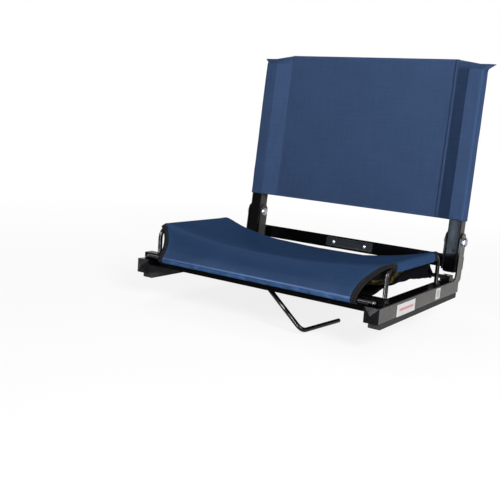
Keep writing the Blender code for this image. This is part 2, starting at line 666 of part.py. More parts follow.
def seat_rows():
    """Rows of the seat cloth over the hoops, as (y, z, normal angle), front hem to rear hem."""
    over = HOOP_BEND + WRAP
    front_rod = (FRONT_ROD_Y, FRONT_ROD_HEIGHT)
    rear_rod = (REAR_ROD_Y, REAR_ROD_HEIGHT)
    front_bend = (HOOP_FRONT_Y + HOOP_BEND, HOOP_HEIGHT - HOOP_BEND)
    rear_bend = (HOOP_REAR_Y - HOOP_BEND, HOOP_HEIGHT - HOOP_BEND)
    rise = math.degrees(tangent_angle(front_rod, WRAP, front_bend, over))
    fall = math.degrees(tangent_angle(rear_bend, over, rear_rod, WRAP))
    stretches = [(front_rod, WRAP, 262, rise, 3), (front_bend, over, rise, 90, 5),
                 (rear_bend, over, 90, fall, 4), (rear_rod, WRAP, fall, -82, 3)]
    between = ((1 / 3, 2 / 3), flat_shares(rear_bend[0] - front_bend[0]), (1 / 2,))
    rows = []
    for index, (centre, radius, start_deg, end_deg, steps) in enumerate(stretches):
        if rows:
            y0, z0, normal = rows[-1]
            y1, z1 = arc(centre, radius, start_deg, end_deg, steps)[0]
            for share in between[index - 1]:
                rows.append((y0 + (y1 - y0) * share, z0 + (z1 - z0) * share, normal))
        angles = [start_deg + (end_deg - start_deg) * i / steps for i in range(steps + 1)]
        for (y, z), angle in zip(arc(centre, radius, start_deg, end_deg, steps), angles):
            rows.append((y, z, math.radians(angle)))
    return rows


def flat_shares(length):
    """Places along the hoops' level part, close together where the side flaps grow."""
    grow = [SEAT_FLAP_RUN * step / length for step in (0.15, 0.35, 0.55, 0.8, 1.0)]
    middle = [grow[-1] + (1 - 2 * grow[-1]) * step / 4 for step in (1, 2, 3)]
    return grow + middle + [1 - share for share in reversed(grow)]


def seat_sag(y):
    """How far the middle of the seat hangs below its sides."""
    flat_rear = HOOP_REAR_Y - HOOP_BEND
    share = min(max((y - SEAT_SAG_START) / (flat_rear - SEAT_SAG_START), 0.0), 1.0)
    depth = SEAT_SAG_FRONT + (SEAT_SAG_REAR - SEAT_SAG_FRONT) * share
    return depth * ease(y, FRONT_ROD_Y, SEAT_SAG_START) * (1 - ease(y, flat_rear, REAR_ROD_Y))


def seat_half(y):
    """Half the cloth's width, measured along the cloth from the middle."""
    full = HOOP_X + WRAP * math.pi / 2 + SEAT_FLAP
    crest = HOOP_X + ROD_RADIUS / 2
    front_crest = HOOP_FRONT_Y + HOOP_BEND * 0.8
    rear_crest = HOOP_REAR_Y - HOOP_BEND * 0.8
    to_front = (y - FRONT_ROD_Y + ROD_RADIUS) / (front_crest - FRONT_ROD_Y + ROD_RADIUS)
    to_rear = (REAR_ROD_Y + ROD_RADIUS - y) / (REAR_ROD_Y + ROD_RADIUS - rear_crest)
    slant = min(max(min(to_front, to_rear), 0.0), 1.0) ** SEAT_EDGE_CURVE
    grown = min(max(min(y - front_crest, rear_crest - y) / SEAT_FLAP_RUN, 0.0), 1.0)
    return SEAT_HEM_HALF + (crest - SEAT_HEM_HALF) * slant + (full - crest) * grown


def seat_point(row, reach, drop=0.0):
    """A point of the cloth, reach measured out from the middle, drop in below the cloth."""
    y, z, normal = row
    sign = 1 if reach >= 0 else -1
    reach = abs(reach)
    inward = Vector((0, -math.cos(normal), -math.sin(normal)))
    if reach <= HOOP_X:
        sag = seat_sag(y) * (1 - (reach / HOOP_X) ** 2)
        return Vector((sign * reach, y, z - sag)) + inward * drop
    turn = min((reach - HOOP_X) / WRAP, math.pi / 2)
    hang = max(reach - HOOP_X - WRAP * math.pi / 2, 0.0)
    point = Vector((HOOP_X + (WRAP - drop) * math.sin(turn), y, z))
    point += inward * (WRAP - (WRAP - drop) * math.cos(turn) + hang)
    point.x *= sign
    return point


def sheet_mesh(rows, thickness):
    """A cloth sheet from rows of points of equal length, thickened about its middle."""
    bm = bmesh.new()
    across = len(rows[0])
    bmesh.ops.create_grid(bm, x_segments=across - 1, y_segments=len(rows) - 1, size=0.5)
    bm.verts.ensure_lookup_table()
    points = [point for row in rows for point in row]
    for vert, point in zip(bm.verts, points):
        vert.co = point
    mesh = bpy.data.meshes.new("sheet")
    bm.to_mesh(mesh)
    bm.free()
    obj = bpy.data.objects.new("sheet", mesh)
    CUTTERS.objects.link(obj)
    solid = obj.modifiers.new("cloth", "SOLIDIFY")
    solid.thickness = thickness
    solid.offset = 0.0
    solid.use_even_offset = False
    return smooth(evaluated(obj))


def seat_cover():
    """Blue cloth hung over the hoops and wrapped round the front and rear rods."""
    inner = [math.sin(math.pi / 2 * i / 4) for i in range(5)]
    outer = (0.12, 0.25, 0.4, 1.0)
    rows = []
    for row in seat_rows():
        half = seat_half(row[0])
        crest = min(half * 0.97, HOOP_X)
        reaches = [crest * share for share in inner]
        reaches += [crest + (half - crest) * share for share in outer]
        full = [-reach for reach in reversed(reaches)] + reaches[1:]
        rows.append([seat_point(row, reach) for reach in full])
    place("seat_cover", sheet_mesh(rows, SEAT_CLOTH), "seat_blue", CHAIR)


def bindings():
    """Dark webbing along the cloth's slanted corner edges, edge to edge with the cloth."""
    limit = HOOP_X - ROD_RADIUS - SEAT_CLOTH
    for end, sense in (("front", 1), ("rear", -1)):
        rows = seat_rows()[::sense]
        chosen = []
        for row in rows:
            if seat_half(row[0]) > limit - BINDING_WIDTH * 0.3:
                break
            chosen.append(row)
        for sign, side in SIDES:
            strip = []
            for row in chosen:
                edge = seat_half(row[0]) + GAP
                width = min(BINDING_WIDTH, limit - edge)
                strip.append([seat_point(row, sign * (edge + width * i / 3)) for i in range(4)])
            place(f"binding_{end}_{side}", sheet_mesh(strip, SEAT_CLOTH), "binding", CHAIR)


def sling():
    """Dark sheet from the front bar to the rear rod, under the pad."""
    front = BAR_FRONT_Y + PLATE + GAP
    rear = REAR_ROD_Y - ROD_RADIUS - GAP
    top_front = BAR_TOP - PLATE - GAP
    rows = []
    for i in range(9):
        share = i / 8
        y = front + (rear - front) * share
        base = top_front - SLING_THICKNESS / 2 + (REAR_ROD_HEIGHT - top_front + SLING_THICKNESS / 2) * share
        dip = SLING_DIP * math.sin(math.pi * share)
        rows.append([Vector((SLING_HALF * u, y, base - dip * (1 - u * u)))
                     for u in (-1, -0.75, -0.5, -0.25, 0, 0.25, 0.5, 0.75, 1)])
    place("seat_sling", sheet_mesh(rows, SLING_THICKNESS), "sling", CHAIR)


def cover_height(x, y):
    """Height of the cloth's middle surface over a place on the seat, inside the hoops."""
    rows = seat_rows()
    over = [row for row in rows if row[2] > 0 and math.sin(row[2]) > 0.3]
    for before, after in zip(over, over[1:]):
        if before[0] <= y <= after[0]:
            share = (y - before[0]) / (after[0] - before[0])
            z = before[1] + (after[1] - before[1]) * share
            return z - seat_sag(y) * (1 - (x / HOOP_X) ** 2)
    return RAIL_TOP


def seat_pad():
    """Foam between cloth and sling, thicker at the sides, with its edges drawn in."""
    cells_x, cells_y = 14, 12
    low_y = BAR_FRONT_Y + PAD_MARGIN_FRONT
    high_y = REAR_ROD_Y - PAD_MARGIN_REAR
    floor = BAR_TOP + GAP
    bm = bmesh.new()
    bmesh.ops.create_cube(bm, size=2.0)
    along_x = [e for e in bm.edges if abs(e.verts[0].co.x - e.verts[1].co.x) > 1]
    bmesh.ops.subdivide_edges(bm, edges=along_x, cuts=cells_x - 1, use_grid_fill=True)
    along_y = [e for e in bm.edges if abs(e.verts[0].co.y - e.verts[1].co.y) > 1]
    bmesh.ops.subdivide_edges(bm, edges=along_y, cuts=cells_y - 1, use_grid_fill=True)
    up_down = [e for e in bm.edges if abs(e.verts[0].co.z - e.verts[1].co.z) > 1]
    bmesh.ops.subdivide_edges(bm, edges=up_down, cuts=1, use_grid_fill=True)
    clear = SEAT_CLOTH + 2 * GAP
    for vert in bm.verts:
        u, v, w = vert.co
        drawn = 1 - 0.012 * (abs(w) > 0.5)
        y = (low_y + high_y) / 2 + (high_y - low_y) / 2 * v * drawn
        x = min(PAD_HALF, seat_half(y) + PAD_LIP) * u * drawn
        edge = max(abs(u), abs(v)) ** 8
        top = cover_height(x, y) - clear - 0.003 * edge
        front_rise = PAD_FRONT_RISE * (1 - ease(y, low_y, PAD_FRONT_RISE_END))
        bottom = floor + (PAD_RISE + front_rise) * u ** 4
        vert.co = (x, y, bottom + (top - bottom) * (w + 1) / 2)
    place("seat_pad", smooth(mesh_of("pad", bm)), "foam", CHAIR)


def pocket_loop():
    """The pocket round an upright as (x, n) points of equal step, front stitch to rear stitch."""
    inner = UPRIGHT_X - TUBE / 2 - POCKET_SLACK
    outer = UPRIGHT_X + TUBE / 2 + POCKET_SLACK
    depth = TUBE / 2 + POCKET_SLACK + BACK_CLOTH / 2
    lap = BACK_CLOTH + GAP
    r = POCKET_CORNER
    start_x = STITCH_HALF - SEAM_LAP
    flat_x = STITCH_HALF + SEAM_LAP
    corners = [(start_x, BACK_PLANE - lap), (flat_x, BACK_PLANE - lap)]
    corners += [(inner + r * 0.3, -depth)]
    corners += arc((outer - r, -depth + r), r, -90, 0, 3)
    corners += arc((outer - r, depth - r), r, 0, 90, 3)
    corners += [(inner + r * 0.3, depth), (flat_x, BACK_PLANE + lap), (start_x, BACK_PLANE + lap)]
    return resampled(corners, 31)


def resampled(points, count):
    """Points at equal steps along a path of straight runs."""
    lengths = [math.dist(a, b) for a, b in zip(points, points[1:])]
    total = sum(lengths)
    result = []
    for i in range(count):
        target = total * i / (count - 1)
        for (a, b), length in zip(zip(points, points[1:]), lengths):
            if target <= length or b is points[-1]:
                share = min(target / length, 1.0)
                result.append(tuple(p + (q - p) * share for p, q in zip(a, b)))
                break
            target -= length
    return result


def back_pockets():
    """Cloth pockets over the uprights, closed along the top seam with an ear at the corner."""
    loop = pocket_loop()
    steps = [math.dist(a, b) for a, b in zip(loop, loop[1:])]
    half_length = sum(steps) / 2
    start_x = STITCH_HALF - SEAM_LAP
    lap = BACK_CLOTH + GAP
    fold_start = BACK_TOP - POCKET_FOLD
    heights = [BACK_BOTTOM + (fold_start - BACK_BOTTOM) * i / 6 for i in range(7)]
    heights += [fold_start + POCKET_FOLD * share for share in (0.2, 0.4, 0.6, 0.8, 1.0)]
    for sign, side in SIDES:
        rows = []
        for height in heights:
            closed = ease(height, fold_start, BACK_TOP)
            row = []
            travelled = 0.0
            for index, (x, n) in enumerate(loop):
                out = min(travelled, 2 * half_length - travelled)
                front = -1 if travelled < half_length else 1
                share = out / half_length
                flat_x = start_x + out
                flat_n = BACK_PLANE + front * lap * (1 - 0.35 * share ** 4)
                drop = EAR_TIP_DROP * closed * max(share - 0.35, 0.0) ** 2 / 0.65 ** 2
                row.append(Vector((sign * (x + (flat_x - x) * closed), n + (flat_n - n) * closed,
                                   height - drop)))
                if index < len(steps):
                    travelled += steps[index]
            rows.append(row)
        place(f"back_pocket_{side}", sheet_mesh(rows, BACK_CLOTH), "back_blue", BACK)


def back_panel():
    """Middle panel of the back, stitched between the pockets' edges."""
    half = STITCH_HALF + SEAM_LAP
    rows = []
    for i in range(9):
        share = i / 8
        height = BACK_BOTTOM + (BACK_TOP - BACK_BOTTOM) * share
        bow = PANEL_BOW * math.sin(math.pi * share)
        rows.append([Vector((half * u, BACK_PLANE + bow * (1 - u ** 4), height))
                     for u in (-1, -0.965, -0.75, -0.5, -0.25, 0, 0.25, 0.5, 0.75, 0.965, 1)])
    place("back_panel", sheet_mesh(rows, BACK_CLOTH), "back_blue", BACK)


def stand_on_origin():
    """Move the chair so that the origin is the middle of its bounding box's underside."""
    bpy.context.view_layer.update()
    graph = bpy.context.evaluated_depsgraph_get()
    low = Vector((math.inf,) * 3)
    high = Vector((-math.inf,) * 3)
    for obj in PARTS.objects:
        if obj.type != "MESH":
            continue
        mesh = obj.evaluated_get(graph).to_mesh()
        for vert in mesh.vertices:
            point = obj.matrix_world @ vert.co
            low = Vector(map(min, low, point))
            high = Vector(map(max, high, point))
    middle = (low + high) / 2
    CHAIR.location = (-middle.x, -middle.y, -low.z)


for build in (side_rails, rail_ends, feet, front_bar, rods, saddles, hoops, uprights, crossbar,
              pivot_hardware, hook, seat_cover, bindings, sling, seat_pad, back_pockets, back_panel):
    build()
stand_on_origin()
bpy.context.view_layer.update()
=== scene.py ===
"""Folding stadium seat: cloth, foam, webbing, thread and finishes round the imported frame."""
import json
import math
from itertools import accumulate

import bmesh
import bpy
from mathutils import Matrix, Vector, noise

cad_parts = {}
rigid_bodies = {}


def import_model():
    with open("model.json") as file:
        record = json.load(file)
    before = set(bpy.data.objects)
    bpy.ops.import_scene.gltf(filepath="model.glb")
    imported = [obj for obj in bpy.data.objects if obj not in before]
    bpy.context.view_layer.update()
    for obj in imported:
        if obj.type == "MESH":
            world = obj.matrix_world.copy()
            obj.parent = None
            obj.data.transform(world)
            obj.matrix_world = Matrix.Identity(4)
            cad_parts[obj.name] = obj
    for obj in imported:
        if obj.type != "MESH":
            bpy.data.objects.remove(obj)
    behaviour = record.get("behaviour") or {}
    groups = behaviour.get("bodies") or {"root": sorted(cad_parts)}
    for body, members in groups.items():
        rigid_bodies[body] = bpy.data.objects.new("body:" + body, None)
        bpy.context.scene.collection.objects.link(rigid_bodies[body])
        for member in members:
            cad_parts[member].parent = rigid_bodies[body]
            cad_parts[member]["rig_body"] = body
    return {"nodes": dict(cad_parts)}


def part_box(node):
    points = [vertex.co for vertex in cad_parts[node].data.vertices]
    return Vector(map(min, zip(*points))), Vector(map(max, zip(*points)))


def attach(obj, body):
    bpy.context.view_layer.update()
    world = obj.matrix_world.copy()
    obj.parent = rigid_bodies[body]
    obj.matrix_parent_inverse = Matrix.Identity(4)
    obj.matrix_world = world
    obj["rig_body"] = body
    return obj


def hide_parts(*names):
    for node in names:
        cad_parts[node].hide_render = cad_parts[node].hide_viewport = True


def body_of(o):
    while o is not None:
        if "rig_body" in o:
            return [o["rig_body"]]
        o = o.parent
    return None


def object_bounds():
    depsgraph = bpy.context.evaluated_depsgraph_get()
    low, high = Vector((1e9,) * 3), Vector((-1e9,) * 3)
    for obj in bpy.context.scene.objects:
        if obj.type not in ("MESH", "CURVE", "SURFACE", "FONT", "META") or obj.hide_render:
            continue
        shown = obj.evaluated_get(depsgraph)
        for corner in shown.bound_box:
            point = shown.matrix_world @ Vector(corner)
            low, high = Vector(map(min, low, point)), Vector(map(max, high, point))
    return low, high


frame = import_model()
CAD_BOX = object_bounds()

# The seat's own measure: x across, y back from the rails' front ends, z up from under the feet
RAIL_LOW, RAIL_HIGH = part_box("side_rail_right")
RAIL_FRONT = RAIL_LOW.y
UNDER_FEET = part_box("foot_strip_right")[0].z
RAIL_SIDE = RAIL_HIGH.x
RAIL_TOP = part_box("rod_saddle_right")[0].z - UNDER_FEET - 0.0003
BOLT_LOW, BOLT_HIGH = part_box("pivot_bolt_right")
PIVOT = (BOLT_LOW + BOLT_HIGH) / 2
LEAN = math.radians(5.3)

# Seat cloth over its rods and hoops
ROD_RADIUS = 0.004
SEAT_CLOTH = 0.0016
COURSE_STEP = 0.0022
WRAP = ROD_RADIUS + 0.0012 + SEAT_CLOTH / 2
FRONT_ROD = (0.0107, 0.0402)
REAR_ROD = (0.308, 0.042)
WRAP_ENDS = (268, -86)
HOOP_X = 0.2335
HOOP_FRONT_Y = 0.042
HOOP_REAR_Y = 0.255
HOOP_HEIGHT = 0.091
HOOP_BEND = 0.02
HEM_HALF = 0.1935
FLAP_HANG = 0.008
EDGE_CURVE = 2.1
FRONT_CREST = 0.0555
REAR_CREST = 0.229
SAG_START = 0.064
SAG_FRONT = 0.017
SAG_REAR = 0.0315
CREASE_OFF = 0.012
CREASE_DEPTH = 0.003
CREASE_WIDTH = 0.022
HEM_SEAM = 0.026
FLAP_SEAM = 0.0045
TAPE_WIDTH = 0.0095
TAPE_THICK = 0.0013
TAPE_SEAM = 0.0022

# Wear along the cloths' edges; on the seat's front hem the paler edge is painted light
HEM_LIT = (0.007, 0.0125)
EDGE_WEAR = 0.12
REAR_RUBBED = 0.018
FLAP_RUBBED = 0.012
RIM_RUBBED = 0.006

# Foam
SWELL_FRAMES = 12
SWELL_MOST = 0.0015
FOAM_AIR = 0.0018

# Back cloth, measured up the uprights from the pivot
BACK_CLOTH = 0.001
BACK_BOTTOM = 0.0391
BACK_TOP = 0.343
BACK_PLANE = 0.0037
STITCH_HALF = 0.1849
SEAM_LAP = 0.003
LAYER_AIR = 0.0003
HEM_DEEP = 0.01
HEM_LINE = 0.0085
EAR_SEAM = 0.0035
SIDE_SEAMS = (-0.0008, 0.0026)
POCKET_FOLD = 0.0215
EAR_DROP = 0.008
UPRIGHT_X = 0.2289
TUBE = 0.0254
POCKET_SLACK = 0.0018

# Camera of the photograph, in the seat's measure, and its picture in pixels
PICTURE = 500
FOCAL_PX = 729.0
CENTRE_PX = (316.0, 230.0)
CAMERA_AT = (0.6946, -0.9707, 0.2904)
CAMERA_HEADING = 0.53075
CAMERA_DIP = 0.13384
CAMERA_ROLL = 0.08128

# Tones shared by materials
STOVED_BLACK = (0.002, 0.002, 0.0025)
DUST_GREY = (0.16, 0.16, 0.165)
# Black for the foam: darker towards the rear, and painted shade outside its lit band in front.
FOAM_DARK_AND_SHADE = (0.004, 0.004, 0.004)
CLOTH_GLEAM = (0.38, 0.54, 1.0, 1.0)
# How much paler the edges get: wear, and on the seat's front hem painted light.
WEAR_AND_LIGHT_PALER = 3.4


def spot(x, y, z):
    """A place in the seat's own measure, as a point of the frame."""
    return Vector((x, y + RAIL_FRONT, z + UNDER_FEET))


def on_back(x, rearward, up):
    """A place measured up the uprights from the pivot, as a point of the frame."""
    y = PIVOT.y + up * math.sin(LEAN) + rearward * math.cos(LEAN)
    z = PIVOT.z + up * math.cos(LEAN) - rearward * math.sin(LEAN)
    return Vector((x, y, z))


BACK_FACES = on_back(0, -1, 0) - on_back(0, 0, 0)


def clamp(value, low=0.0, high=1.0):
    return min(max(value, low), high)


def ease(value, low, high):
    share = clamp((value - low) / (high - low))
    return share * share * (3 - 2 * share)


def mix(a, b, share):
    return a + (b - a) * share


def spaced(low, high, count):
    """Evenly spaced values from low to high, both included."""
    return [mix(low, high, i / count) for i in range(count + 1)]


def wobble(x, y, z=0.0):
    """Smooth noise from -1 to 1."""
    return noise.noise(Vector((x, y, z)))


def travelled(points):
    """How far along a broken line each of its points lies."""
    return list(accumulate((math.dist(a, b) for a, b in zip(points, points[1:])), initial=0.0))


def along(points, target):
    """The two points of a broken line round a distance along it, and the share between."""
    for a, b in zip(points, points[1:]):
        step = math.dist(a, b)
        if target <= step + 1e-9:
            return a, b, clamp(target / step if step else 0.0)
        target -= step
    return a, b, 1.0


# Materials

def add(tree, kind, inputs=None, **settings):
    """A shader node with its settings, and its sockets linked or set."""
    node = tree.nodes.new("ShaderNode" + kind)
    for name, value in settings.items():
        setattr(node, name, value)
    for socket, value in (inputs or {}).items():
        if isinstance(value, bpy.types.NodeSocket):
            tree.links.new(value, node.inputs[socket])
        else:
            node.inputs[socket].default_value = value
    return node


def blank(name, roughness, metallic=0.0, specular=0.5, on_map=False):
    """A new material, its nodes and its coordinates: the object's or the cloth's flat map."""
    material = bpy.data.materials.new(name)
    material.use_nodes = True
    tree = material.node_tree
    shader = tree.nodes["Principled BSDF"]
    for socket, value in (("Roughness", roughness), ("Metallic", metallic),
                          ("Specular IOR Level", specular)):
        shader.inputs[socket].default_value = value
    if on_map:
        return material, tree, add(tree, "UVMap", uv_map="cloth").outputs["UV"]
    return material, tree, add(tree, "TexCoord").outputs["Object"]


def coated(material, tone, height, distance, strength, rough=None):
    """Link a material's colour, its bump and, if given, its roughness."""
    tree = material.node_tree
    bump = add(tree, "Bump", {"Height": height, "Distance": distance, "Strength": strength})
    links = {"Base Color": tone, "Normal": bump.outputs["Normal"]}
    if rough is not None:
        links["Roughness"] = rough
    for socket, source in links.items():
        tree.links.new(source, tree.nodes["Principled BSDF"].inputs[socket])
    return material


def field(tree, coords, scale, detail, stretch=None, roughness=0.5):
    """Noise from 0 to 1, with its coordinates stretched if asked."""
    if stretch:
        coords = add(tree, "Mapping", {"Vector": coords, "Scale": stretch}).outputs[0]
    sockets = {"Vector": coords, "Scale": scale, "Detail": detail, "Roughness": roughness}
    return add(tree, "TexNoise", sockets).outputs["Fac"]


def spread(tree, value, low, high, out_low=0.0, out_high=1.0):
    """A range of values stretched onto another and clamped to it."""
    sockets = {"Value": value, "From Min": low, "From Max": high, "To Min": out_low, "To Max": out_high}
    return add(tree, "MapRange", sockets).outputs["Result"]


def worked(tree, operation, *values):
    """Values taken through one kind of arithmetic, from left to right."""
    total = values[0]
    for value in values[1:]:
        total = add(tree, "Math", {0: total, 1: value}, operation=operation).outputs[0]
    return total


def product(tree, *values):
    return worked(tree, "MULTIPLY", *values)


def blended(tree, factor, first, second):
    """Two colours mixed by a factor; a colour may be a socket or three numbers."""
    sockets = {"Factor": factor}
    for socket, color in ((6, first), (7, second)):
        sockets[socket] = color if isinstance(color, bpy.types.NodeSocket) else (*color, 1.0)
    return add(tree, "Mix", sockets, data_type="RGBA").outputs[2]


def shaded(color, amount):
    return tuple(channel * amount for channel in color)


def gloss_paint(name, color, low, high, specular, dust, side_reflection=0.0, inner=1.0, peel=0.35):
    """Stoved black paint: orange peel, uneven gloss, fine rubs, a little dust, and a grey painted
    reflection on the sideways faces.
    """
    material, tree, here = blank(name, 0.3, specular=specular)
    cloud = field(tree, here, 26, 3)
    rubbed = spread(tree, field(tree, here, 60, 4, stretch=(1.0, 9.0, 1.6)), 0.6, 0.72)
    specks = spread(tree, field(tree, here, 640, 1), 0.7, 0.76)
    marks = worked(tree, "MAXIMUM", product(tree, rubbed, cloud), specks)
    tone = blended(tree, product(tree, marks, dust), color, DUST_GREY)
    # Painted reflection: sideways faces, outer sides more than inner ones, are mixed towards grey as if
    # they caught a bright surround.
    if side_reflection:
        normal = add(tree, "NewGeometry").outputs["Normal"]
        across = add(tree, "SeparateXYZ", {0: normal}).outputs["X"]
        slant = add(tree, "Math", {0: across}, operation="ABSOLUTE").outputs[0]
        sideways = spread(tree, slant, 0.8, 0.95)
        patchy = spread(tree, field(tree, here, 34, 5), 0.3, 0.7, 0.75, 1.0)
        place = add(tree, "SeparateXYZ", {0: here}).outputs["X"]
        outward = spread(tree, product(tree, across, place), 0.0, 0.01, inner, 1.0)
        tone = blended(tree, product(tree, sideways, patchy, outward), tone,
                       (side_reflection * 1.04, side_reflection, side_reflection * 0.96))
    rough = worked(tree, "ADD", spread(tree, cloud, 0.3, 0.7, low, high), product(tree, rubbed, 0.18))
    return coated(material, tone, field(tree, here, 420, 2), 0.0001, peel, rough)


def moulded(name, color, roughness, gloss, grain=900, depth=0.00006, pale=0.04):
    """Moulded plastic or rubber: fine grain, uneven tone and scuffs."""
    material, tree, here = blank(name, roughness, specular=gloss)
    cloud = field(tree, here, 45, 4)
    scuffs = spread(tree, field(tree, here, 130, 5, stretch=(1.0, 2.5, 1.0)), 0.58, 0.74, 0.0, 0.5)
    tone = blended(tree, cloud, shaded(color, 0.8), shaded(color, 1.25))
    tone = blended(tree, scuffs, tone, tuple(c + pale for c in color))
    rough = spread(tree, cloud, 0.3, 0.7, roughness - 0.07, roughness + 0.1)
    return coated(material, tone, field(tree, here, grain, 2), depth, 0.6, rough)


def bright_zinc(name):
    """Zinc plating: bluish grey, cloudy, with turned marks."""
    material, tree, here = blank(name, 0.3, metallic=1.0)
    cloud = field(tree, here, 160, 4)
    tone = blended(tree, cloud, (0.22, 0.23, 0.26), (0.46, 0.47, 0.51))
    turned = field(tree, here, 900, 3, stretch=(1.0, 6.0, 6.0))
    return coated(material, tone, turned, 0.00005, 0.5, spread(tree, cloud, 0.3, 0.7, 0.22, 0.42))


def mixed_in(tree, share, other):
    """Mix a share of another shader into a material's own."""
    shader = tree.nodes["Principled BSDF"]
    mixed = add(tree, "MixShader", {0: share, 1: shader.outputs[0], 2: other.outputs[0]})
    tree.links.new(mixed.outputs[0], tree.nodes["Material Output"].inputs["Surface"])


def bands(tree, uv, pitch, across, **sockets):
    """Rounded threads side by side, one pitch apart."""
    return add(tree, "TexWave", {"Vector": uv, "Scale": math.pi / 10 / pitch, **sockets},
               wave_type="BANDS", bands_direction=across).outputs["Fac"]


def woven(name, color, pitch, roughness, gloss, depth, cloudy=0.1, wear_and_light=0.0):
    """Plain-woven cloth on its flat map: threads with painted shade between them, slubs, uneven dye,
    and paler edges for wear and, on the seat's front hem, painted light.
    """
    material, tree, uv = blank(name, roughness, specular=0.0, on_map=True)
    warp, weft = [bands(tree, uv, pitch, across, Distortion=0.35) for across in "XY"]
    over = add(tree, "TexChecker", {"Vector": uv, "Scale": 1 / pitch}).outputs["Fac"]
    weave = add(tree, "Mix", {"Factor": over, 2: warp, 3: weft}, data_type="FLOAT").outputs[0]
    cloud = field(tree, uv, 11, 4, roughness=0.6)
    slubs = worked(tree, "ADD", *[field(tree, uv, 1.0, 2, stretch=way)
                                  for way in ((420, 16, 1), (16, 420, 1))])
    dye = spread(tree, cloud, 0.3, 0.7)
    tone = blended(tree, dye, shaded(color, 1 - cloudy), shaded(color, 1 + cloudy))
    tone = blended(tree, spread(tree, slubs, 0.75, 1.25, 0.0, 0.42), tone, shaded(color, 1.35))
    # Darker between the threads: painted shade in the weave.
    tone = blended(tree, spread(tree, weave, 0.0, 1.0, 0.34, 0.0), tone, shaded(color, 0.45))
    # Edges paler by the edge values: wear, and on the seat's front hem painted light from the floor and
    # lamp.
    if wear_and_light:
        edge = add(tree, "Attribute", attribute_name="edge").outputs["Fac"]
        wear_and_light_mask = product(tree, edge, spread(tree, field(tree, uv, 55, 5), 0.35, 0.7, 0.2, 1.0), wear_and_light)
        tone = blended(tree, wear_and_light_mask, tone, shaded(color, WEAR_AND_LIGHT_PALER))
    rough = spread(tree, cloud, 0.3, 0.7, roughness - 0.04, roughness + 0.04)
    mixed_in(tree, gloss, add(tree, "BsdfAnisotropic", {"Color": CLOTH_GLEAM, "Roughness": rough},
                              distribution="BECKMANN"))
    return coated(material, tone, weave, depth, 0.7)


def ribbed_tape(name, color, pitch):
    """Woven binding tape with ribs across it, painted dark in the grooves and pale on the ridges as
    shade and light.
    """
    material, tree, uv = blank(name, 0.9, specular=0.02, on_map=True)
    ribs = bands(tree, uv, pitch, "X", Distortion=0.8, Detail=1.0)
    fuzz = spread(tree, field(tree, uv, 900, 3), 0.5, 0.8, 0.0, 0.5)
    # Painted shade in the rib grooves and painted light on the ridges.
    tone = blended(tree, ribs, shaded(color, 0.2), shaded(color, 2.3))
    return coated(material, blended(tree, fuzz, tone, shaded(color, 2.2)), ribs, 0.0003, 0.8)


def cell_foam(name, color, plain_until, shade_until, lit_band):
    """Old foam: pores painted dark as shade, crumbs, black towards the rear, and painted shade outside
    a lit band in front.
    """
    material, tree, here = blank(name, 0.95, specular=0.04)
    pores = add(tree, "TexVoronoi", {"Vector": here, "Scale": 420}).outputs["Distance"]
    crumbs = spread(tree, field(tree, here, 70, 5), 0.42, 0.6)
    tone = blended(tree, crumbs, shaded(color, 0.12), shaded(color, 1.4))
    # Pores drawn darker: painted shade in the pores.
    tone = blended(tree, spread(tree, pores, 0.0, 0.35, 0.6, 0.0), tone, shaded(color, 0.25))
    place = add(tree, "SeparateXYZ", {0: here})
    noisy = field(tree, here, 90, 4)
    ragged = worked(tree, "ADD", product(tree, noisy, 0.05), place.outputs["Y"])
    height = worked(tree, "ADD", product(tree, noisy, 0.006), place.outputs["Z"])
    # Black towards the rear; in front, black outside a band of height, as painted shade under the
    # cloth, tape and hoop.
    rear = spread(tree, ragged, plain_until + 0.025, plain_until + 0.035)
    front = spread(tree, place.outputs["Y"], shade_until - 0.004, shade_until, 1.0, 0.0)
    under = spread(tree, height, lit_band[0] + 0.002, lit_band[0] + 0.003, 1.0, 0.0)
    over = spread(tree, height, lit_band[1] + 0.003, lit_band[1] + 0.004)
    outside = product(tree, worked(tree, "MAXIMUM", under, over), front)
    tone = blended(tree, worked(tree, "MAXIMUM", rear, outside), tone, FOAM_DARK_AND_SHADE)
    return coated(material, tone, pores, 0.0008, 0.9)


def thread(name, color):
    """Sewing thread, with its twist as a fine bump."""
    material, tree, here = blank(name, 0.6, specular=0.3)
    twist = field(tree, here, 1500, 1)
    tone = blended(tree, twist, shaded(color, 0.7), shaded(color, 1.3))
    return coated(material, tone, twist, 0.0001, 0.5)


def sticker_paper(name, color):
    """Laminated sticker: smooth, faintly yellowed and scuffed."""
    material, tree, here = blank(name, 0.35)
    cloud = field(tree, here, 90, 4)
    rough = spread(tree, field(tree, here, 300, 3), 0.3, 0.7, 0.25, 0.55)
    tone = blended(tree, cloud, shaded(color, 0.86), color)
    return coated(material, tone, cloud, 0.00008, 0.4, rough)


PAINT = gloss_paint("black_paint", STOVED_BLACK, 0.1, 0.16, specular=0.02, dust=0.05)
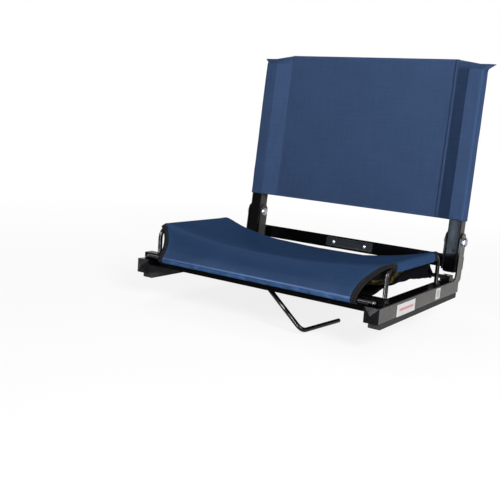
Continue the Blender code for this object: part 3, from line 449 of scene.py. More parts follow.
# Rails get the painted grey reflection on their outer sides only, uprights on both sides.
RAIL_PAINT = gloss_paint("rail_paint", STOVED_BLACK, 0.12, 0.2, specular=0.1, dust=0.06,
                         side_reflection=0.082, inner=0.0)
POST_PAINT = gloss_paint("post_paint", STOVED_BLACK, 0.12, 0.2, specular=0.04, dust=0.05,
                         side_reflection=0.062)
ROD_PAINT = gloss_paint("rod_paint", STOVED_BLACK, 0.15, 0.2, specular=0.18, dust=0.03,
                        peel=0.08)
CAP_PLASTIC = moulded("cap_plastic", (0.004, 0.004, 0.006), 0.26, gloss=0.06, pale=0.008)
DOME_PLASTIC = gloss_paint("dome_plastic", (0.003, 0.003, 0.004), 0.1, 0.15, specular=0.5, dust=0.04)
BLOCK_PLASTIC = moulded("block_plastic", (0.003, 0.003, 0.004), 0.3, gloss=0.14, pale=0.02)
RUBBER = moulded("foot_rubber", (0.026, 0.026, 0.026), 0.72, gloss=0.15, grain=500, depth=0.00015)
ZINC = bright_zinc("zinc_plate")
HANDLE_GREY = gloss_paint("handle_grey", (0.014, 0.017, 0.023), 0.24, 0.32, specular=0.12, dust=0.2)
BACK_BLUE = woven("back_blue_cloth", (0.0478, 0.0856, 0.182), 0.00075, 0.6, 0.002, 0.00025, wear_and_light=0.15)
SEAT_BLUE = woven("seat_blue_cloth", (0.022, 0.051, 0.12), 0.0006, 0.38, 0.012, 0.0001,
                  cloudy=0.08, wear_and_light=1.0)
TAPE_GREY = ribbed_tape("binding_tape", (0.0125, 0.0125, 0.0145), 0.003)
# Foam darkens towards the rear, and in front it is painted black as shade outside its lit band.
FOAM_OLIVE = cell_foam("olive_foam", (0.06, 0.05, 0.012), RAIL_FRONT + 0.132, RAIL_FRONT + 0.076,
                       (UNDER_FEET + 0.06, UNDER_FEET + 0.068))
UNDER_BLACK = woven("under_cloth_black", (0.006, 0.006, 0.007), 0.0009, 0.6, 0.002, 0.0002)
BLUE_THREAD = thread("blue_thread", (0.012, 0.022, 0.052))
DARK_THREAD = thread("dark_thread", (0.02, 0.02, 0.023))
STICKER_WHITE = sticker_paper("sticker_white", (0.59, 0.59, 0.6))
STICKER_RULE = sticker_paper("sticker_rule", (0.55, 0.22, 0.21))
STICKER_GREY = sticker_paper("sticker_grey", (0.38, 0.38, 0.37))


# Making pieces

def piece(name, mesh, material, body):
    """A finished piece of the seat: it rides on a body and takes its material."""
    obj = placed(name, mesh)
    mesh.materials.clear()
    mesh.materials.append(material)
    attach(obj, body)
    return obj


def placed(name, data):
    obj = bpy.data.objects.new(name, data)
    bpy.context.scene.collection.objects.link(obj)
    return obj


def mesh_from(bm, name, sharp=40):
    mesh = bpy.data.meshes.new(name)
    bm.to_mesh(mesh)
    bm.free()
    mesh.shade_smooth()
    mesh.set_sharp_from_angle(angle=math.radians(sharp))
    return mesh


def lay_grid(rows, flat, edges=None):
    """A grid moved onto rows of points, with a flat map in metres and edge values for wear and painted
    light.
    """
    bm = bmesh.new()
    across = len(rows[0])
    bmesh.ops.create_grid(bm, x_segments=across - 1, y_segments=len(rows) - 1, size=0.5)
    bm.verts.index_update()
    edge_wear_and_light = bm.verts.layers.float.new("edge")
    uv = bm.loops.layers.uv.new("cloth")
    for vert in bm.verts:
        row, column = divmod(vert.index, across)
        vert.co = rows[row][column]
        if edges:
            vert[edge_wear_and_light] = edges[row][column]
        for loop in vert.link_loops:
            loop[uv].uv = flat[row][column]
    return bm


def thick_sheet(name, rows, edges, thickness, material, body, sharp=60, flat=None):
    """A sheet of cloth of a given thickness laid on rows of points."""
    bm = lay_grid(rows, flat or flat_map(rows), edges)
    obj = piece(name, mesh_from(bm, name, sharp), material, body)
    solid = obj.modifiers.new("thickness", "SOLIDIFY")
    solid.thickness = thickness
    solid.offset = 0.0
    return obj


def flat_map(rows):
    """Each point's place on the cloth laid flat: across from the middle column, and along."""
    middle = len(rows[0]) // 2
    runs = travelled([row[middle] for row in rows])
    return [[(value - across[middle], run) for value in across]
            for across, run in zip(map(travelled, rows), runs)]


def stitches(name, lines, length, gap, radius, material, body):
    """Sewn stitches: one small seed shape for each, laid along lines of (point, normal)."""
    seed = bmesh.new()
    bmesh.ops.create_icosphere(seed, subdivisions=1, radius=1.0)
    seed_mesh = mesh_from(seed, "seed", 80)
    size = Matrix.Diagonal((length / 2, radius * 1.1, radius, 1.0))
    bm = bmesh.new()
    for line in lines:
        passed, due = 0.0, gap
        for (a, normal_a), (b, normal_b) in zip(line, line[1:]):
            step = (b - a).length
            while due <= passed + step and step > 0:
                share = (due - passed) / step
                forward = (b - a).normalized()
                up = normal_a.lerp(normal_b, share).normalized()
                side = forward.cross(up).normalized()
                turn = Matrix((forward, side, side.cross(forward))).transposed().to_4x4()
                start = len(bm.verts)
                bm.from_mesh(seed_mesh)
                bm.verts.ensure_lookup_table()
                bmesh.ops.transform(bm, matrix=Matrix.Translation(a.lerp(b, share)) @ turn @ size,
                                    verts=bm.verts[start:])
                due += length + gap
            passed += step
    bpy.data.meshes.remove(seed_mesh)
    return piece(name, mesh_from(bm, name, 80), material, body)


def welded(node):
    """A CAD node's mesh with its separate triangles joined up."""
    bm = bmesh.new()
    bm.from_mesh(frame["nodes"][node].data)
    bmesh.ops.remove_doubles(bm, verts=bm.verts, dist=0.00002)
    return bm


def finished(node, material, edge=0.0003, sharp=35):
    """A copy of a CAD node with its edges softened, which stands for the node."""
    bm = welded(node)
    bmesh.ops.dissolve_limit(bm, angle_limit=math.radians(1.5), verts=bm.verts, edges=bm.edges)
    if edge:
        corners = [e for e in bm.edges if e.is_manifold and e.calc_face_angle(0) > math.radians(sharp)]
        bmesh.ops.bevel(bm, geom=corners, offset=edge, segments=2, profile=0.5, affect="EDGES",
                        clamp_overlap=True, material=-1)
    body = body_of(frame["nodes"][node])[0]
    made = piece(f"{node}_made", mesh_from(bm, node, sharp), material, body)
    if edge:
        made.modifiers.new("flat_faces", "WEIGHTED_NORMAL").keep_sharp = True
    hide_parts(node)


# Seat cloth

def arc(centre, radius, start, end, steps):
    """Points round a circle between two angles in degrees, each with its angle in radians."""
    return [(centre[0] + radius * math.cos(a), centre[1] + radius * math.sin(a), a)
            for a in map(math.radians, spaced(start, end, steps))]


def tangent(first, first_radius, second, second_radius):
    """Outward angle, in degrees, of the line that lies over two circles."""
    dy, dz = second[0] - first[0], second[1] - first[1]
    lift = math.asin((second_radius - first_radius) / math.hypot(dy, dz))
    return math.degrees(math.atan2(dz, dy) + lift) + 90


def seat_course():
    """Side view of the seat cloth, front hem to rear hem, as (run, y, z, outward angle)."""
    over = HOOP_BEND + WRAP
    front_bend = (HOOP_FRONT_Y + HOOP_BEND, HOOP_HEIGHT - HOOP_BEND)
    rear_bend = (HOOP_REAR_Y - HOOP_BEND, HOOP_HEIGHT - HOOP_BEND)
    rise = tangent(FRONT_ROD, WRAP, front_bend, over)
    fall = tangent(rear_bend, over, REAR_ROD, WRAP)
    stretches = [arc(FRONT_ROD, WRAP, WRAP_ENDS[0], rise, 18), arc(front_bend, over, rise, 90, 10),
                 arc(rear_bend, over, 90, fall, 10), arc(REAR_ROD, WRAP, fall, WRAP_ENDS[1], 18)]
    points = [stretches[0][0]]
    for stretch in stretches:
        y0, z0, _ = points[-1]
        y1, z1, angle = stretch[0]
        steps = max(int(math.hypot(y1 - y0, z1 - z0) / COURSE_STEP), 1)
        points += [(mix(y0, y1, i / steps), mix(z0, z1, i / steps), angle) for i in range(1, steps)]
        points += stretch
    course = [(0.0, *points[0])]
    for run, point in zip(travelled([(y, z) for y, z, _ in points]), points):
        if run > course[-1][0] + 0.00001:
            course.append((run, *point))
    return course


COURSE = seat_course()
SEAT_RUN = COURSE[-1][0]
FLAP_FRONT = next(run for run, y, z, a in COURSE if y >= HOOP_FRONT_Y + HOOP_BEND - 0.001 and a < 2)
FLAP_REAR = max(run for run, y, z, a in COURSE if y <= REAR_CREST - 0.003)
BEND_REAR = max(run for run, y, z, a in COURSE if y <= HOOP_REAR_Y - HOOP_BEND)
CREST = HOOP_X + ROD_RADIUS * 0.6
FLAP_EDGE = HOOP_X + WRAP * math.pi / 2 + FLAP_HANG


def course_at(run):
    """The cloth's y, z and outward angle at a run along it."""
    run = clamp(run, 0.0, SEAT_RUN)
    last, after = next(pair for pair in zip(COURSE, COURSE[1:]) if run <= pair[1][0])
    share = (run - last[0]) / (after[0] - last[0])
    return [mix(a, b, share) for a, b in zip(last[1:], after[1:])]


def sag_at(y):
    flat_rear = HOOP_REAR_Y - HOOP_BEND
    share = clamp((y - SAG_START) / (flat_rear - SAG_START))
    depth = mix(SAG_FRONT, SAG_REAR, share)
    return depth * ease(y, FRONT_ROD[0], SAG_START) * (1 - ease(y, flat_rear, REAR_ROD[0]))


def seat_half(run):
    """How far out the blue cloth reaches, measured along the cloth from its middle."""
    y = course_at(run)[0]
    front = (y - FRONT_ROD[0] + ROD_RADIUS) / (FRONT_CREST - FRONT_ROD[0] + ROD_RADIUS)
    rear = (REAR_ROD[0] + ROD_RADIUS - y) / (REAR_ROD[0] + ROD_RADIUS - REAR_CREST)
    slant = clamp(min(front, rear)) ** EDGE_CURVE
    grown = clamp(min(run - FLAP_FRONT, FLAP_REAR - run) / 0.003)
    return mix(mix(HEM_HALF, CREST, slant), FLAP_EDGE, grown)


def seat_place(run, reach, lift=0.0):
    """A point of the seat cloth: run back along it, reach out from its middle, lift above it."""
    y, z, angle = course_at(run)
    side = 1 if reach >= 0 else -1
    out = abs(reach)
    inward = Vector((0, -math.cos(angle), -math.sin(angle)))
    if out <= HOOP_X:
        slack = 1 - (out / HOOP_X) ** 2
        away = min(abs(run - FLAP_FRONT + CREASE_OFF), abs(run - BEND_REAR - CREASE_OFF))
        crease = CREASE_DEPTH * math.exp(-(away / CREASE_WIDTH) ** 2) * ease(slack, 0.0, 0.4)
        return spot(side * out, y, z - (sag_at(y) * slack + crease)) - inward * lift
    turn = min((out - HOOP_X) / WRAP, math.pi / 2)
    hang = max(out - HOOP_X - WRAP * math.pi / 2, 0.0)
    radius = WRAP + lift
    point = spot(HOOP_X + radius * math.sin(turn), y, z)
    point += inward * (WRAP - radius * math.cos(turn) + hang)
    point.x *= side
    return point


def seat_folds(run, reach):
    """Small unevenness of the cloth: pulls from the hoops' bends and soft dents."""
    inside = CREST - abs(reach)
    calm = ease(run, 0.012, 0.05) * ease(SEAT_RUN - run, 0.012, 0.05)
    dents = 0.0007 * wobble(reach * 16, run * 20, 3.0) + 0.0003 * wobble(reach * 60, run * 45, 8.0)
    pulls = 0.0
    for corner in (FLAP_FRONT, FLAP_REAR):
        away = math.hypot(run - corner, inside)
        around = math.atan2(run - corner, inside)
        pulls += 0.0006 * math.cos(around * 9) * math.exp(-away / 0.03) * ease(away, 0.004, 0.015)
    over_rod = 1 - ease(abs(reach), CREST - 0.02, CREST - 0.004)
    return (dents * calm + pulls) * over_rod


def seat_cloth():
    """Blue cloth over the rods and hoops, with side flaps that hang outside the hoops."""
    inner = [math.sin(math.pi / 2 * i / 44) for i in range(45)]
    outer = spaced(0.0, 1.0, 14)[1:]
    rows, edges = [], []
    for run, *_ in COURSE:
        half = seat_half(run) + 0.0008
        crest = min(half * 0.965, HOOP_X - 0.002)
        reaches = [crest * share for share in inner] + [mix(crest, half, share) for share in outer]
        reaches = [-reach for reach in reversed(reaches)] + reaches[1:]
        rows.append([seat_place(run, reach, seat_folds(run, reach)) for reach in reaches])
        # Edge values: the front hem's lower part is painted light, the rear hem and flap edges are
        # wear.
        rear = EDGE_WEAR - EDGE_WEAR * ease(SEAT_RUN - run, 0.0, REAR_RUBBED)
        hem = max(1 - ease(run, *HEM_LIT), rear)
        edges.append([max(hem, EDGE_WEAR * ease(abs(reach), half - FLAP_RUBBED, half))
                      for reach in reaches])
    cloth = thick_sheet("seat_cloth", rows, edges, SEAT_CLOTH, SEAT_BLUE, "base")
    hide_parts("seat_cover")
    return cloth


def border(front):
    """The slanted edge of the cloth and the flap's end, as smoothed (run, reach) points."""
    corner = FLAP_FRONT if front else SEAT_RUN - FLAP_REAR
    runs = [corner * i / 60 for i in range(60)]
    path = [Vector((run, seat_half(run if front else SEAT_RUN - run))) for run in runs]
    path += [Vector((corner + 0.001, reach)) for reach in spaced(CREST + 0.001, FLAP_EDGE, 12)]
    for _ in range(3):
        smooth = [(a + b * 2 + c) / 4 for a, b, c in zip(path, path[1:], path[2:])]
        path = [path[0]] + smooth + [path[-1]]
    return path


def beside(path, index, out, front):
    """The (run, reach) place at a distance outside one point of a border."""
    heading = (path[min(index + 1, len(path) - 1)] - path[max(index - 1, 0)]).normalized()
    run, reach = path[index] + Vector((-heading.y, heading.x)) * out
    return run if front else SEAT_RUN - run, reach


def binding(side, hand, end):
    """Ribbed tape folded over the slanted edge and down the flap's end, and its stitch line."""
    name, front = f"binding_tape_{end}_{hand}", end == "front"
    path = border(front)
    wide, half = TAPE_WIDTH, TAPE_THICK
    top = [(-0.001, half * 0.8), (0.0005, half), (wide * 0.5, half * 1.08), (wide * 0.88, half),
           (wide * 0.97, half * 0.7), (wide, half * 0.25)]
    section = top + [(out, -lift) for out, lift in reversed(top)] + top[:1]
    rows, flat = [], []
    for index, way in enumerate(travelled(path)):
        row = []
        for out, lift in section:
            run, reach = beside(path, index, out, front)
            fray = 0.0002 * wobble(way * 400, out * 300, 5.0)
            row.append(seat_place(run, side * reach, lift + fray))
        rows.append(row)
        flat.append([(way, out) for out, _ in section])
    bm = lay_grid(rows, flat)
    bmesh.ops.remove_doubles(bm, verts=bm.verts, dist=0.00001)
    bmesh.ops.holes_fill(bm, edges=[e for e in bm.edges if e.is_boundary], sides=0)
    bmesh.ops.recalc_face_normals(bm, faces=bm.faces)
    tape = piece(name, mesh_from(bm, name, 60), TAPE_GREY, "base")
    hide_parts(f"binding_{end}_{hand}")
    line = []
    for index in range(2, len(path) - 2):
        run, reach = beside(path, index, TAPE_SEAM, front)
        low, high = [seat_place(run, side * reach, TAPE_THICK + lift) for lift in (0.0, 0.001)]
        line.append((low, high - low))
    return tape, line


def seat_seams():
    """Stitch lines along the front and rear hems and along both flaps."""
    lines = []
    half, lift = HEM_HALF - 0.002, SEAT_CLOTH / 2
    for run in (HEM_SEAM, SEAT_RUN - HEM_SEAM):
        lines.append([(seat_place(run, reach, lift), Vector((0, 0, 1)))
                      for reach in spaced(-half, half, 60)])
    runs = spaced(FLAP_FRONT + 0.004, FLAP_REAR - 0.004, 50)
    for side in (1, -1):
        reach = side * (FLAP_EDGE - FLAP_SEAM)
        lines.append([(seat_place(run, reach, lift), Vector((side, 0, 0))) for run in runs])
    return lines


# Foam and the dark cloth under the seat

def cloth_underside(x, y):
    """Height of the seat cloth's lower face over a point, with a hair of air."""
    run = next((r for r, across, z, angle in COURSE if angle < 2.2 and across >= y), SEAT_RUN)
    return seat_place(run, clamp(x, -HOOP_X, HOOP_X)).z - SEAT_CLOTH / 2 - FOAM_AIR


def seat_foam():
    """The foam slab: swelled by a pressure simulation, then torn along its sides."""
    foam = placed("seat_foam", mesh_from(welded("seat_pad"), "seat_foam"))
    applied(foam, "REMESH", mode="VOXEL", voxel_size=0.005)
    rest = [v.co.copy() for v in foam.data.vertices]
    swell(foam)
    low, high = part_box("seat_pad")
    middle = (low + high) / 2
    for vert, start in zip(foam.data.vertices, rest):
        moved = vert.co - start
        moved.z = min(moved.z, 0.0)
        if moved.length > SWELL_MOST:
            moved.length = SWELL_MOST
        place = start + moved
        side = ease(abs(place.x), high.x - 0.03, high.x)
        torn = 0.0045 * wobble(place.y * 110, place.z * 150, place.x * 20) * side
        place.x += math.copysign(1, place.x) * (torn - 0.001 * side)
        lower = ease(middle.z - place.z, -0.004, 0.01)
        ragged = wobble(place.y * 60, 4.0, place.x * 9) + 0.6 * wobble(place.y * 150, 9.0, place.x * 9)
        place.z += side * lower * 0.006 * ragged
        place.z = min(place.z, cloth_underside(place.x, place.y - RAIL_FRONT))
        vert.co = place
    applied(foam, "SUBSURF", levels=1, render_levels=1)
    foam.data.shade_smooth()
    made = piece("seat_foam_pad", foam.data, FOAM_OLIVE, "base")
    bpy.data.objects.remove(foam)
    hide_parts("seat_pad")


def applied(obj, kind, **settings):
    """Apply one modifier to an object's mesh."""
    modifier = obj.modifiers.new(kind.lower(), kind)
    for name, value in settings.items():
        setattr(modifier, name, value)
    settle(obj, modifier)


def settle(obj, modifier):
    """Make a modifier's result the object's own mesh."""
    graph = bpy.context.evaluated_depsgraph_get()
    mesh = bpy.data.meshes.new_from_object(obj.evaluated_get(graph))
    obj.modifiers.remove(modifier)
    obj.data = mesh


def swell(obj):
    """Puff a closed mesh out with a short cloth simulation under pressure."""
    scene = bpy.context.scene
    modifier = obj.modifiers.new("cloth", "CLOTH")
    settings = modifier.settings
    settings.use_pressure = True
    settings.uniform_pressure_force = 4.0
    settings.effector_weights.gravity = 0.0
    settings.quality = 4
    modifier.point_cache.frame_start = 1
    modifier.point_cache.frame_end = SWELL_FRAMES
    for number in range(1, SWELL_FRAMES + 1):
        scene.frame_set(number)
    settle(obj, modifier)
    scene.frame_set(1)


def under_cloth():
    """Black cloth from the front bar to the rear rod, slack and wavy along its sides."""
    low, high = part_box("seat_sling")
    half = high.x
    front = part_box("front_bar")[1].z - 0.0043
    rear = UNDER_FEET + REAR_ROD[1]
    columns = spaced(-1.0, 1.0, 48)
    rows = []
    for share in spaced(0.0, 1.0, 60):
        y = mix(low.y, high.y, share)
        slack = math.sin(math.pi * share)
        row = []
        for across in columns:
            ruffle = 0.002 * wobble(y * 38, math.copysign(5, across)) * abs(across) ** 6 * slack
            x = (half + 0.002 * wobble(y * 25, 11.0, across) * slack) * across
            turned = 0.0068 * across ** 4 * ease(share, 0.12, 0.3) * (1 - ease(share, 0.78, 0.95))
            z = mix(front, rear, share) - 0.004 * slack * (1 - across * across) + ruffle + turned
            row.append(Vector((x, y, z + 0.0005 * wobble(x * 30, y * 30, 2.0) * slack)))
        rows.append(row)
    edges = [[abs(across) ** 6 for across in columns]] * len(rows)
    sling = thick_sheet("seat_under_cloth", rows, edges, 0.0014, UNDER_BLACK, "base")
    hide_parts("seat_sling")


def side_cloth(side, hand):
    """Black cloth turned up over the foam's side, torn away towards the front."""
    front, rear, top = 0.104, 0.247, 0.087
    outside, tucked = 0.2252, 0.208
    columns = [(j - 4) / 12 for j in range(17)]
    rows = []
    for y in spaced(front, rear, 54):
        low = mix(0.059, 0.05, ease(y, 0.13, 0.24)) + 0.0016 * wobble(y * 55, side * 4.0)
        high = clamp(mix(0.0625, top, (y - 0.106) / 0.062), low + 0.0006, top)
        high += 0.0014 * wobble(y * 160, side * 6.0, 2.0) * (1 - ease(y, 0.15, 0.17))
        row = []
        for up in columns:
            z = mix(low, max(high, low + 0.0005), max(up, 0.0))
            x = outside + 0.0012 * wobble(y * 40, z * 60, side * 2.0) - 0.003 * max(up, 0.0) ** 2
            if up < 0:
                x = mix(x, tucked, -up * 3)
                z = low + 0.001 * up * 3
            slid = 1.4 * (z - low) * ease(y, 0.2, rear)
            row.append(spot(side * x, y - slid, z))
        rows.append(row)
    edges = [[1 - clamp(abs(up) * 4) for up in columns]] * len(rows)
    turned = thick_sheet(f"seat_side_cloth_{hand}", rows, edges, 0.0012, UNDER_BLACK, "base")


# Back cloth

def pocket_path(count):
    """Round an upright from the front stitch line to the rear one: (x, rearward) points, length."""
    inner = UPRIGHT_X - TUBE / 2 - POCKET_SLACK
    outer = UPRIGHT_X + TUBE / 2 + POCKET_SLACK
    depth = TUBE / 2 + POCKET_SLACK + BACK_CLOTH / 2
    lap = BACK_CLOTH + LAYER_AIR
    start, flat, r = STITCH_HALF - SEAM_LAP, STITCH_HALF + SEAM_LAP, 0.004
    corners = [(start, BACK_PLANE - lap), (flat, BACK_PLANE - lap), (inner - 0.001, -depth + 0.002),
               (inner + 0.002, -depth)]
    for middle, angle in ((-depth + r, -90), (depth - r, 0)):
        corners += [(x, n) for x, n, _ in arc((outer - r, middle), r, angle, angle + 90, 5)]
    corners += [(inner + 0.002, depth), (flat, BACK_PLANE + lap), (start, BACK_PLANE + lap)]
    total = travelled(corners)[-1]
    points = []
    for i in range(count):
        a, b, share = along(corners, total * i / (count - 1))
        points.append((mix(a[0], b[0], share), mix(a[1], b[1], share)))
    return points, total


POCKET, POCKET_ROUND = pocket_path(121)


def rim_wear(height):
    """How rubbed the back's cloth is near its bottom and top edges."""
    return max(1 - ease(height, BACK_BOTTOM, BACK_BOTTOM + RIM_RUBBED),
               ease(height, BACK_TOP - RIM_RUBBED, BACK_TOP))


def pocket_place(side, index, height, lift=0.0):
    """A point of a pocket; near the top its two layers come together along the seam."""
    x, n = POCKET[index]
    way = POCKET_ROUND * index / (len(POCKET) - 1)
    out = min(way, POCKET_ROUND - way)
    front = -1 if way < POCKET_ROUND / 2 else 1
    share = out / (POCKET_ROUND / 2)
    closed = clamp((height - (BACK_TOP - POCKET_FOLD)) / POCKET_FOLD)
    flat_x = STITCH_HALF - SEAM_LAP + out
    flat_n = BACK_PLANE + front * (BACK_CLOTH + LAYER_AIR) * (1 - 0.35 * share ** 4)
    drop = EAR_DROP * closed * clamp(share / 0.62)
    loose = (1 - closed) * ease(share, 0.1, 0.25)
    n += front * 0.0006 * wobble(height * 26, x * 40, side * 7.0) * loose
    x += 0.0005 * wobble(height * 20, n * 60, side * 3.0) * loose
    return on_back(side * mix(x, flat_x, closed), mix(n, flat_n, closed) + front * lift, height - drop)


def back_pocket(side, hand):
    """Cloth sleeve over an upright, sewn shut at the top with an ear at its corner."""
    fold = BACK_TOP - POCKET_FOLD
    heights = spaced(BACK_BOTTOM, fold, 90)[:-1] + spaced(fold, BACK_TOP, 16)
    columns = range(len(POCKET))
    rows = [[pocket_place(side, i, height) for i in columns] for height in heights]
    edges = [[rim_wear(height)] * len(POCKET) for height in heights]
    flat = [[(POCKET_ROUND * i / (len(POCKET) - 1), height) for i in columns] for height in heights]
    cloth = thick_sheet(f"back_pocket_cloth_{hand}", rows, edges, BACK_CLOTH, BACK_BLUE, "back",
                        16, flat)
    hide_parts(f"back_pocket_{hand}")


def panel_place(x, height, lift=0.0):
    """A point of the middle panel, which bows a little and puckers along its seams."""
    share = (height - BACK_BOTTOM) / (BACK_TOP - BACK_BOTTOM)
    bow = 0.0015 * math.sin(math.pi * share) * (1 - (x / STITCH_HALF) ** 4)
    free = 1 - ease(abs(x), STITCH_HALF - 0.02, STITCH_HALF - 0.003)
    dents = 0.0006 * wobble(x * 9, height * 6, 1.0) + 0.0002 * wobble(x * 30, height * 55, 6.0)
    seam = STITCH_HALF - SEAM_LAP - abs(x)
    pucker = 0.0003 * math.sin(height * math.tau / 0.0085) * math.exp(-max(seam, 0) / 0.006) * free
    return on_back(x, BACK_PLANE + bow + dents * free + pucker - lift, height)


def back_panel():
    """Middle panel of the back, hemmed at its top and bottom."""
    half = STITCH_HALF + SEAM_LAP
    columns = [half * math.sin(math.pi / 2 * (i / 45 - 1) * 0.999) / math.sin(math.pi / 2 * 0.999)
               for i in range(91)]
    rows, edges = [], []
    for height in spaced(BACK_BOTTOM, BACK_TOP, 140):
        hem = height < BACK_BOTTOM + HEM_DEEP or height > BACK_TOP - HEM_DEEP
        rows.append([panel_place(x, height, 0.0002 if hem else 0.0) for x in columns])
        edges.append([rim_wear(height)] * len(columns))
    panel = thick_sheet("back_panel_cloth", rows, edges, BACK_CLOTH, BACK_BLUE, "back")
    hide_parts("back_panel")
    return panel


def back_hem(name, low, high):
    """A folded hem laid on the panel's rear face between the pockets' seams."""
    half = STITCH_HALF - SEAM_LAP - 0.0006
    columns = spaced(-half, half, 90)
    rows = [[panel_place(x, height, -BACK_CLOTH - 0.0001) for x in columns]
            for height in spaced(low, high, 6)]
    edges = [[0.6 if i in (0, 6) else 0.1] * len(columns) for i in range(7)]
    return thick_sheet(name, rows, edges, BACK_CLOTH * 0.8, BACK_BLUE, "back")


def back_seams():
    """Stitch lines: two down each side seam, one along each hem and one along each ear."""
    lines = []
    layer = 0.0013 + BACK_CLOTH / 2
    heights = spaced(BACK_BOTTOM + 0.001, BACK_TOP - 0.001, 80)
    for side in (1, -1):
        for x in [side * (STITCH_HALF + seam) for seam in SIDE_SEAMS]:
            for face in (1, -1):
                lines.append([(on_back(x, BACK_PLANE - face * layer, h), BACK_FACES * face)
                              for h in heights])
    half = STITCH_HALF - 0.006
    for height in (BACK_BOTTOM + HEM_LINE, BACK_TOP - HEM_LINE):
        for face, lift in ((1, BACK_CLOTH / 2), (-1, -BACK_CLOTH * 1.5)):
            lines.append([(panel_place(x, height, lift), BACK_FACES * face)
                          for x in spaced(-half, half, 90)])
    for side in (1, -1):
        for face, indices in ((1, range(4, 58)), (-1, range(116, 62, -1))):
            places = [pocket_place(side, i, BACK_TOP - EAR_SEAM, BACK_CLOTH / 2) for i in indices]
            lines.append([(place, BACK_FACES * face) for place in places])
    return lines


# Steel details, stickers and floor

def weld(name, lines, radius, body):
    """Weld beads: a row of overlapping drops along each line."""
    bm = bmesh.new()
    for points in lines:
        total = travelled(points)[-1]
        count = max(int(total / (radius * 0.55)), 2)
        for k in range(count + 1):
            a, b, share = along(points, total * k / count)
            centre = a.lerp(b, share)
            size = radius * (1 + 0.18 * wobble(k * 1.7, centre.x * 90, centre.y * 90))
            turn = Matrix.Translation(centre) @ Matrix.Diagonal((size, size, size * 0.8, 1.0))
            bmesh.ops.create_icosphere(bm, subdivisions=2, radius=1.0, matrix=turn)
    piece(name, mesh_from(bm, name, 80), ROD_PAINT, body)


def welds():
    """Beads round the hoops' feet, by the front rod's ends and along both gussets."""
    ring, rod_y, rod_span = 0.0058, 0.0188, (0.2226, 0.2436)
    gusset_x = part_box("gusset_right")[0].x - 0.0004
    gusset_y, gusset_span = 0.0122, (-0.0514, -0.03)
    frame_lines, back_lines = [], []
    for side in (1, -1):
        for y in (HOOP_FRONT_Y, HOOP_REAR_Y):
            frame_lines.append([spot(side * HOOP_X + ring * math.cos(a), y + ring * math.sin(a),
                                     RAIL_TOP + 0.0009) for a in spaced(0.0, math.tau, 16)])
        frame_lines.append([spot(side * x, rod_y, RAIL_TOP + 0.0008) for x in rod_span])
        back_lines.append([on_back(side * gusset_x, gusset_y, up) for up in gusset_span])
    weld("frame_welds", frame_lines, 0.0014, "base")
    weld("back_welds", back_lines, 0.0013, "back")


def stickers():
    """Two blank white labels on the right rail, with a plain rule and a plain grey field."""
    turn = Matrix(((0, 0, 1), (1, 0, 0), (0, 1, 0))).to_4x4()
    paper, ink = 0.00018, 0.00004
    small = (0.2375, 0.0238)
    for name, place, size, corner, material in (
            ("rail_sticker_long", (0.1, 0.0213), (0.0715, 0.0197), 0.0012, STICKER_WHITE),
            ("rail_sticker_long_rule", (0.101, 0.0216), (0.054, 0.0042), 0.0004, STICKER_RULE),
            ("rail_sticker_small", small, (0.0205, 0.0192), 0.0008, STICKER_WHITE),
            ("rail_sticker_small_field", small, (0.013, 0.0125), 0.0006, STICKER_GREY)):
        thick, lift = (paper, 0.0) if material is STICKER_WHITE else (ink, paper)
        bm = bmesh.new()
        bmesh.ops.create_grid(bm, x_segments=1, y_segments=1, size=0.5)
        bmesh.ops.scale(bm, verts=bm.verts, vec=(*size, 1.0))
        bmesh.ops.bevel(bm, geom=bm.verts[:], offset=corner, segments=4, profile=0.5, material=-1,
                        affect="VERTICES")
        made = bmesh.ops.extrude_face_region(bm, geom=bm.faces[:])
        top = [v for v in made["geom"] if isinstance(v, bmesh.types.BMVert)]
        bmesh.ops.translate(bm, verts=top, vec=(0, 0, thick))
        bmesh.ops.recalc_face_normals(bm, faces=bm.faces)
        outward = Matrix.Translation(spot(RAIL_SIDE + 0.00005 + lift, *place))
        bmesh.ops.transform(bm, matrix=outward @ turn, verts=bm.verts)
        piece(name, mesh_from(bm, name, 30), material, "base")


def make_camera():
    """The photograph's camera, from its place, heading, dip and roll."""
    data = bpy.data.cameras.new("camera")
    data.sensor_width = 36.0
    data.lens = FOCAL_PX / PICTURE * data.sensor_width
    data.shift_x = (PICTURE / 2 - CENTRE_PX[0]) / PICTURE
    data.shift_y = (CENTRE_PX[1] - PICTURE / 2) / PICTURE
    data.clip_start = 0.05
    camera = placed("camera", data)
    level, cos, sin = math.cos(CAMERA_DIP), math.cos(CAMERA_HEADING), math.sin(CAMERA_HEADING)
    forward = Vector((-sin * level, cos * level, -math.sin(CAMERA_DIP)))
    right = Vector((cos, sin, 0.0))
    down = forward.cross(right)
    picture_x = right * math.cos(CAMERA_ROLL) - down * math.sin(CAMERA_ROLL)
    picture_down = right * math.sin(CAMERA_ROLL) + down * math.cos(CAMERA_ROLL)
    turn = Matrix((picture_x, -picture_down, -forward)).transposed()
    camera.matrix_world = Matrix.Translation(spot(*CAMERA_AT)) @ turn.to_4x4()
    bpy.context.scene.camera = camera


def lamp(name, place, aim, size, power, color=(1.0, 1.0, 1.0)):
    data = bpy.data.lights.new(name, "AREA")
    data.shape = "RECTANGLE"
    data.size, data.size_y = size
    data.energy = power
    data.color = color
    light = placed(name, data)
    light.location = place
    light.rotation_euler = (Vector(aim) - Vector(place)).to_track_quat("-Z", "Y").to_euler()
    return light


def seen_directly(tree):
    """1 for camera, glossy and transmission rays, else 0."""
    path = add(tree, "LightPath")
    rays = [path.outputs[f"Is {kind} Ray"] for kind in ("Camera", "Glossy", "Transmission")]
    return worked(tree, "MAXIMUM", *rays)


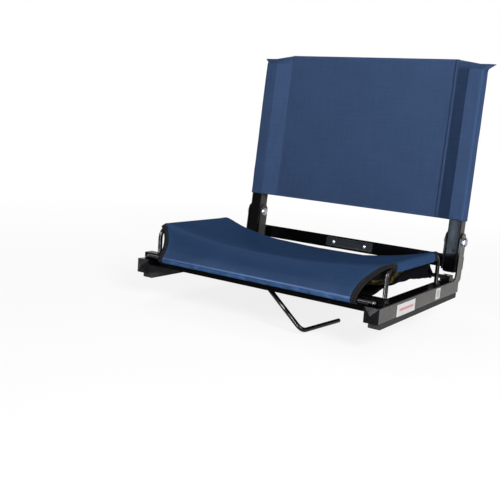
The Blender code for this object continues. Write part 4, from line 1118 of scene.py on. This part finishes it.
def studio():
    """White surround, pale floor and soft lamps."""
    scene = bpy.context.scene
    scene.view_settings.view_transform = "Standard"
    world = bpy.data.worlds.new("studio")
    world.use_nodes = True
    tree = world.node_tree
    background = tree.nodes["Background"]
    strength = spread(tree, seen_directly(tree), 0.0, 1.0, 0.18, 1.0)
    tree.links.new(strength, background.inputs["Strength"])
    background.inputs["Color"].default_value = (1.0, 1.0, 1.0, 1.0)
    scene.world = world

    bm = bmesh.new()
    bmesh.ops.create_grid(bm, x_segments=1, y_segments=1, size=20.0)
    floor = placed("floor", mesh_from(bm, "floor"))
    floor.location.z = CAD_BOX[0].z - 0.0005
    material, tree, here = blank("floor_white", 0.9, specular=0.1)
    tree.nodes["Principled BSDF"].inputs["Base Color"].default_value = (0.9, 0.9, 0.9, 1.0)
    glow = add(tree, "Emission", {"Strength": 1.05})
    away = add(tree, "VectorMath", {0: here}, operation="LENGTH").outputs["Value"]
    share = product(tree, seen_directly(tree), spread(tree, away, 0.5, 2.2, 0.8, 0.97))
    mixed_in(tree, share, glow)
    floor.data.materials.append(material)

    middle = (0.0, 0.0, 0.22)
    lamp("key", (1.845, -1.2, 1.2), middle, (1.0, 1.0), 58.0)
    lamp("fill", (-1.1, 0.6, 1.3), middle, (0.8, 0.8), 5.0)
    for glint in (
            ("sheen", (-0.8, -1.24, 0.9), (0.0, -0.17, 0.06), (0.36, 0.45), 50.0),
            ("hook_glint", (0.1, -0.66, 0.3), (0.1, 0.0, 0.3), (0.035, 0.62), 10.0),
            ("hoop_glint", (0.41, -0.35, 0.065), (0.2335, -0.15, 0.08), (0.02, 0.12), 0.5),
            ("post_glint", (0.75, -0.36, 0.3), (0.23, 0.15, 0.25), (0.03, 0.35), 1.0),
            ("front_glint", (-0.237, -1.149, 0.228), (0.23, 0.14, 0.16), (0.056, 0.2), 2.8,
             (0.6, 0.78, 1.0))):
        light = lamp(*glint)
        light.visible_diffuse = False
        light.visible_camera = False


# Everything in turn

SIDES = ((1, "right"), (-1, "left"))

make_camera()
studio()

cloth = seat_cloth()
tapes, tape_lines = zip(*[binding(way, hand, end)
                          for end in ("front", "rear") for way, hand in SIDES])
seat_threads = stitches("seat_stitches", seat_seams(), 0.003, 0.001, 0.00028, BLUE_THREAD, "base")
tape_threads = stitches("binding_stitches", tape_lines, 0.0026, 0.0011, 0.00025, DARK_THREAD, "base")
under_cloth()
seat_foam()
for way, hand in SIDES:
    side_cloth(way, hand)

panel = back_panel()
hems = [back_hem("back_hem_bottom", BACK_BOTTOM, BACK_BOTTOM + HEM_DEEP),
        back_hem("back_hem_top", BACK_TOP - HEM_DEEP, BACK_TOP)]
for way, hand in SIDES:
    back_pocket(way, hand)
back_threads = stitches("back_stitches", back_seams(), 0.0029, 0.001, 0.00028,
                        BLUE_THREAD, "back")

welds()
stickers()

for hand in ("left", "right"):
    finished(f"side_rail_{hand}", RAIL_PAINT)
    finished(f"upright_{hand}", POST_PAINT, edge=0.0012)
    finished(f"gusset_{hand}", POST_PAINT)
    finished(f"seat_hoop_{hand}", ROD_PAINT, edge=0.0, sharp=50)
    for node in ("front_cap", "rear_cap", "upright_top_plug", "upright_foot_plug"):
        finished(f"{node}_{hand}", CAP_PLASTIC, edge=0.0004, sharp=7)
    finished(f"foot_strip_{hand}", RUBBER, edge=0.0005)
    finished(f"rod_saddle_{hand}", BLOCK_PLASTIC)
    finished(f"pivot_spacer_{hand}", BLOCK_PLASTIC, edge=0.0)
    for node in ("pivot_bolt", "pivot_washer", "pivot_nut", "handle_rivet"):
        finished(f"{node}_{hand}", ZINC, edge=0.00015)
    finished(f"front_rod_dome_{hand}", DOME_PLASTIC, edge=0.00015)
    for place in ("inner", "outer"):
        finished(f"saddle_screw_{hand}_{place}", ZINC, edge=0.0001)
for node in ("front_bar", "crossbar"):
    finished(node, PAINT, edge=0.0004)
for node in ("front_rod", "rear_rod", "bench_hook"):
    finished(node, ROD_PAINT, edge=0.0, sharp=50)
for node in ("handle_plate_front", "handle_plate_rear"):
    finished(node, HANDLE_GREY)
finished("hook_stud", ZINC, edge=0.00015)
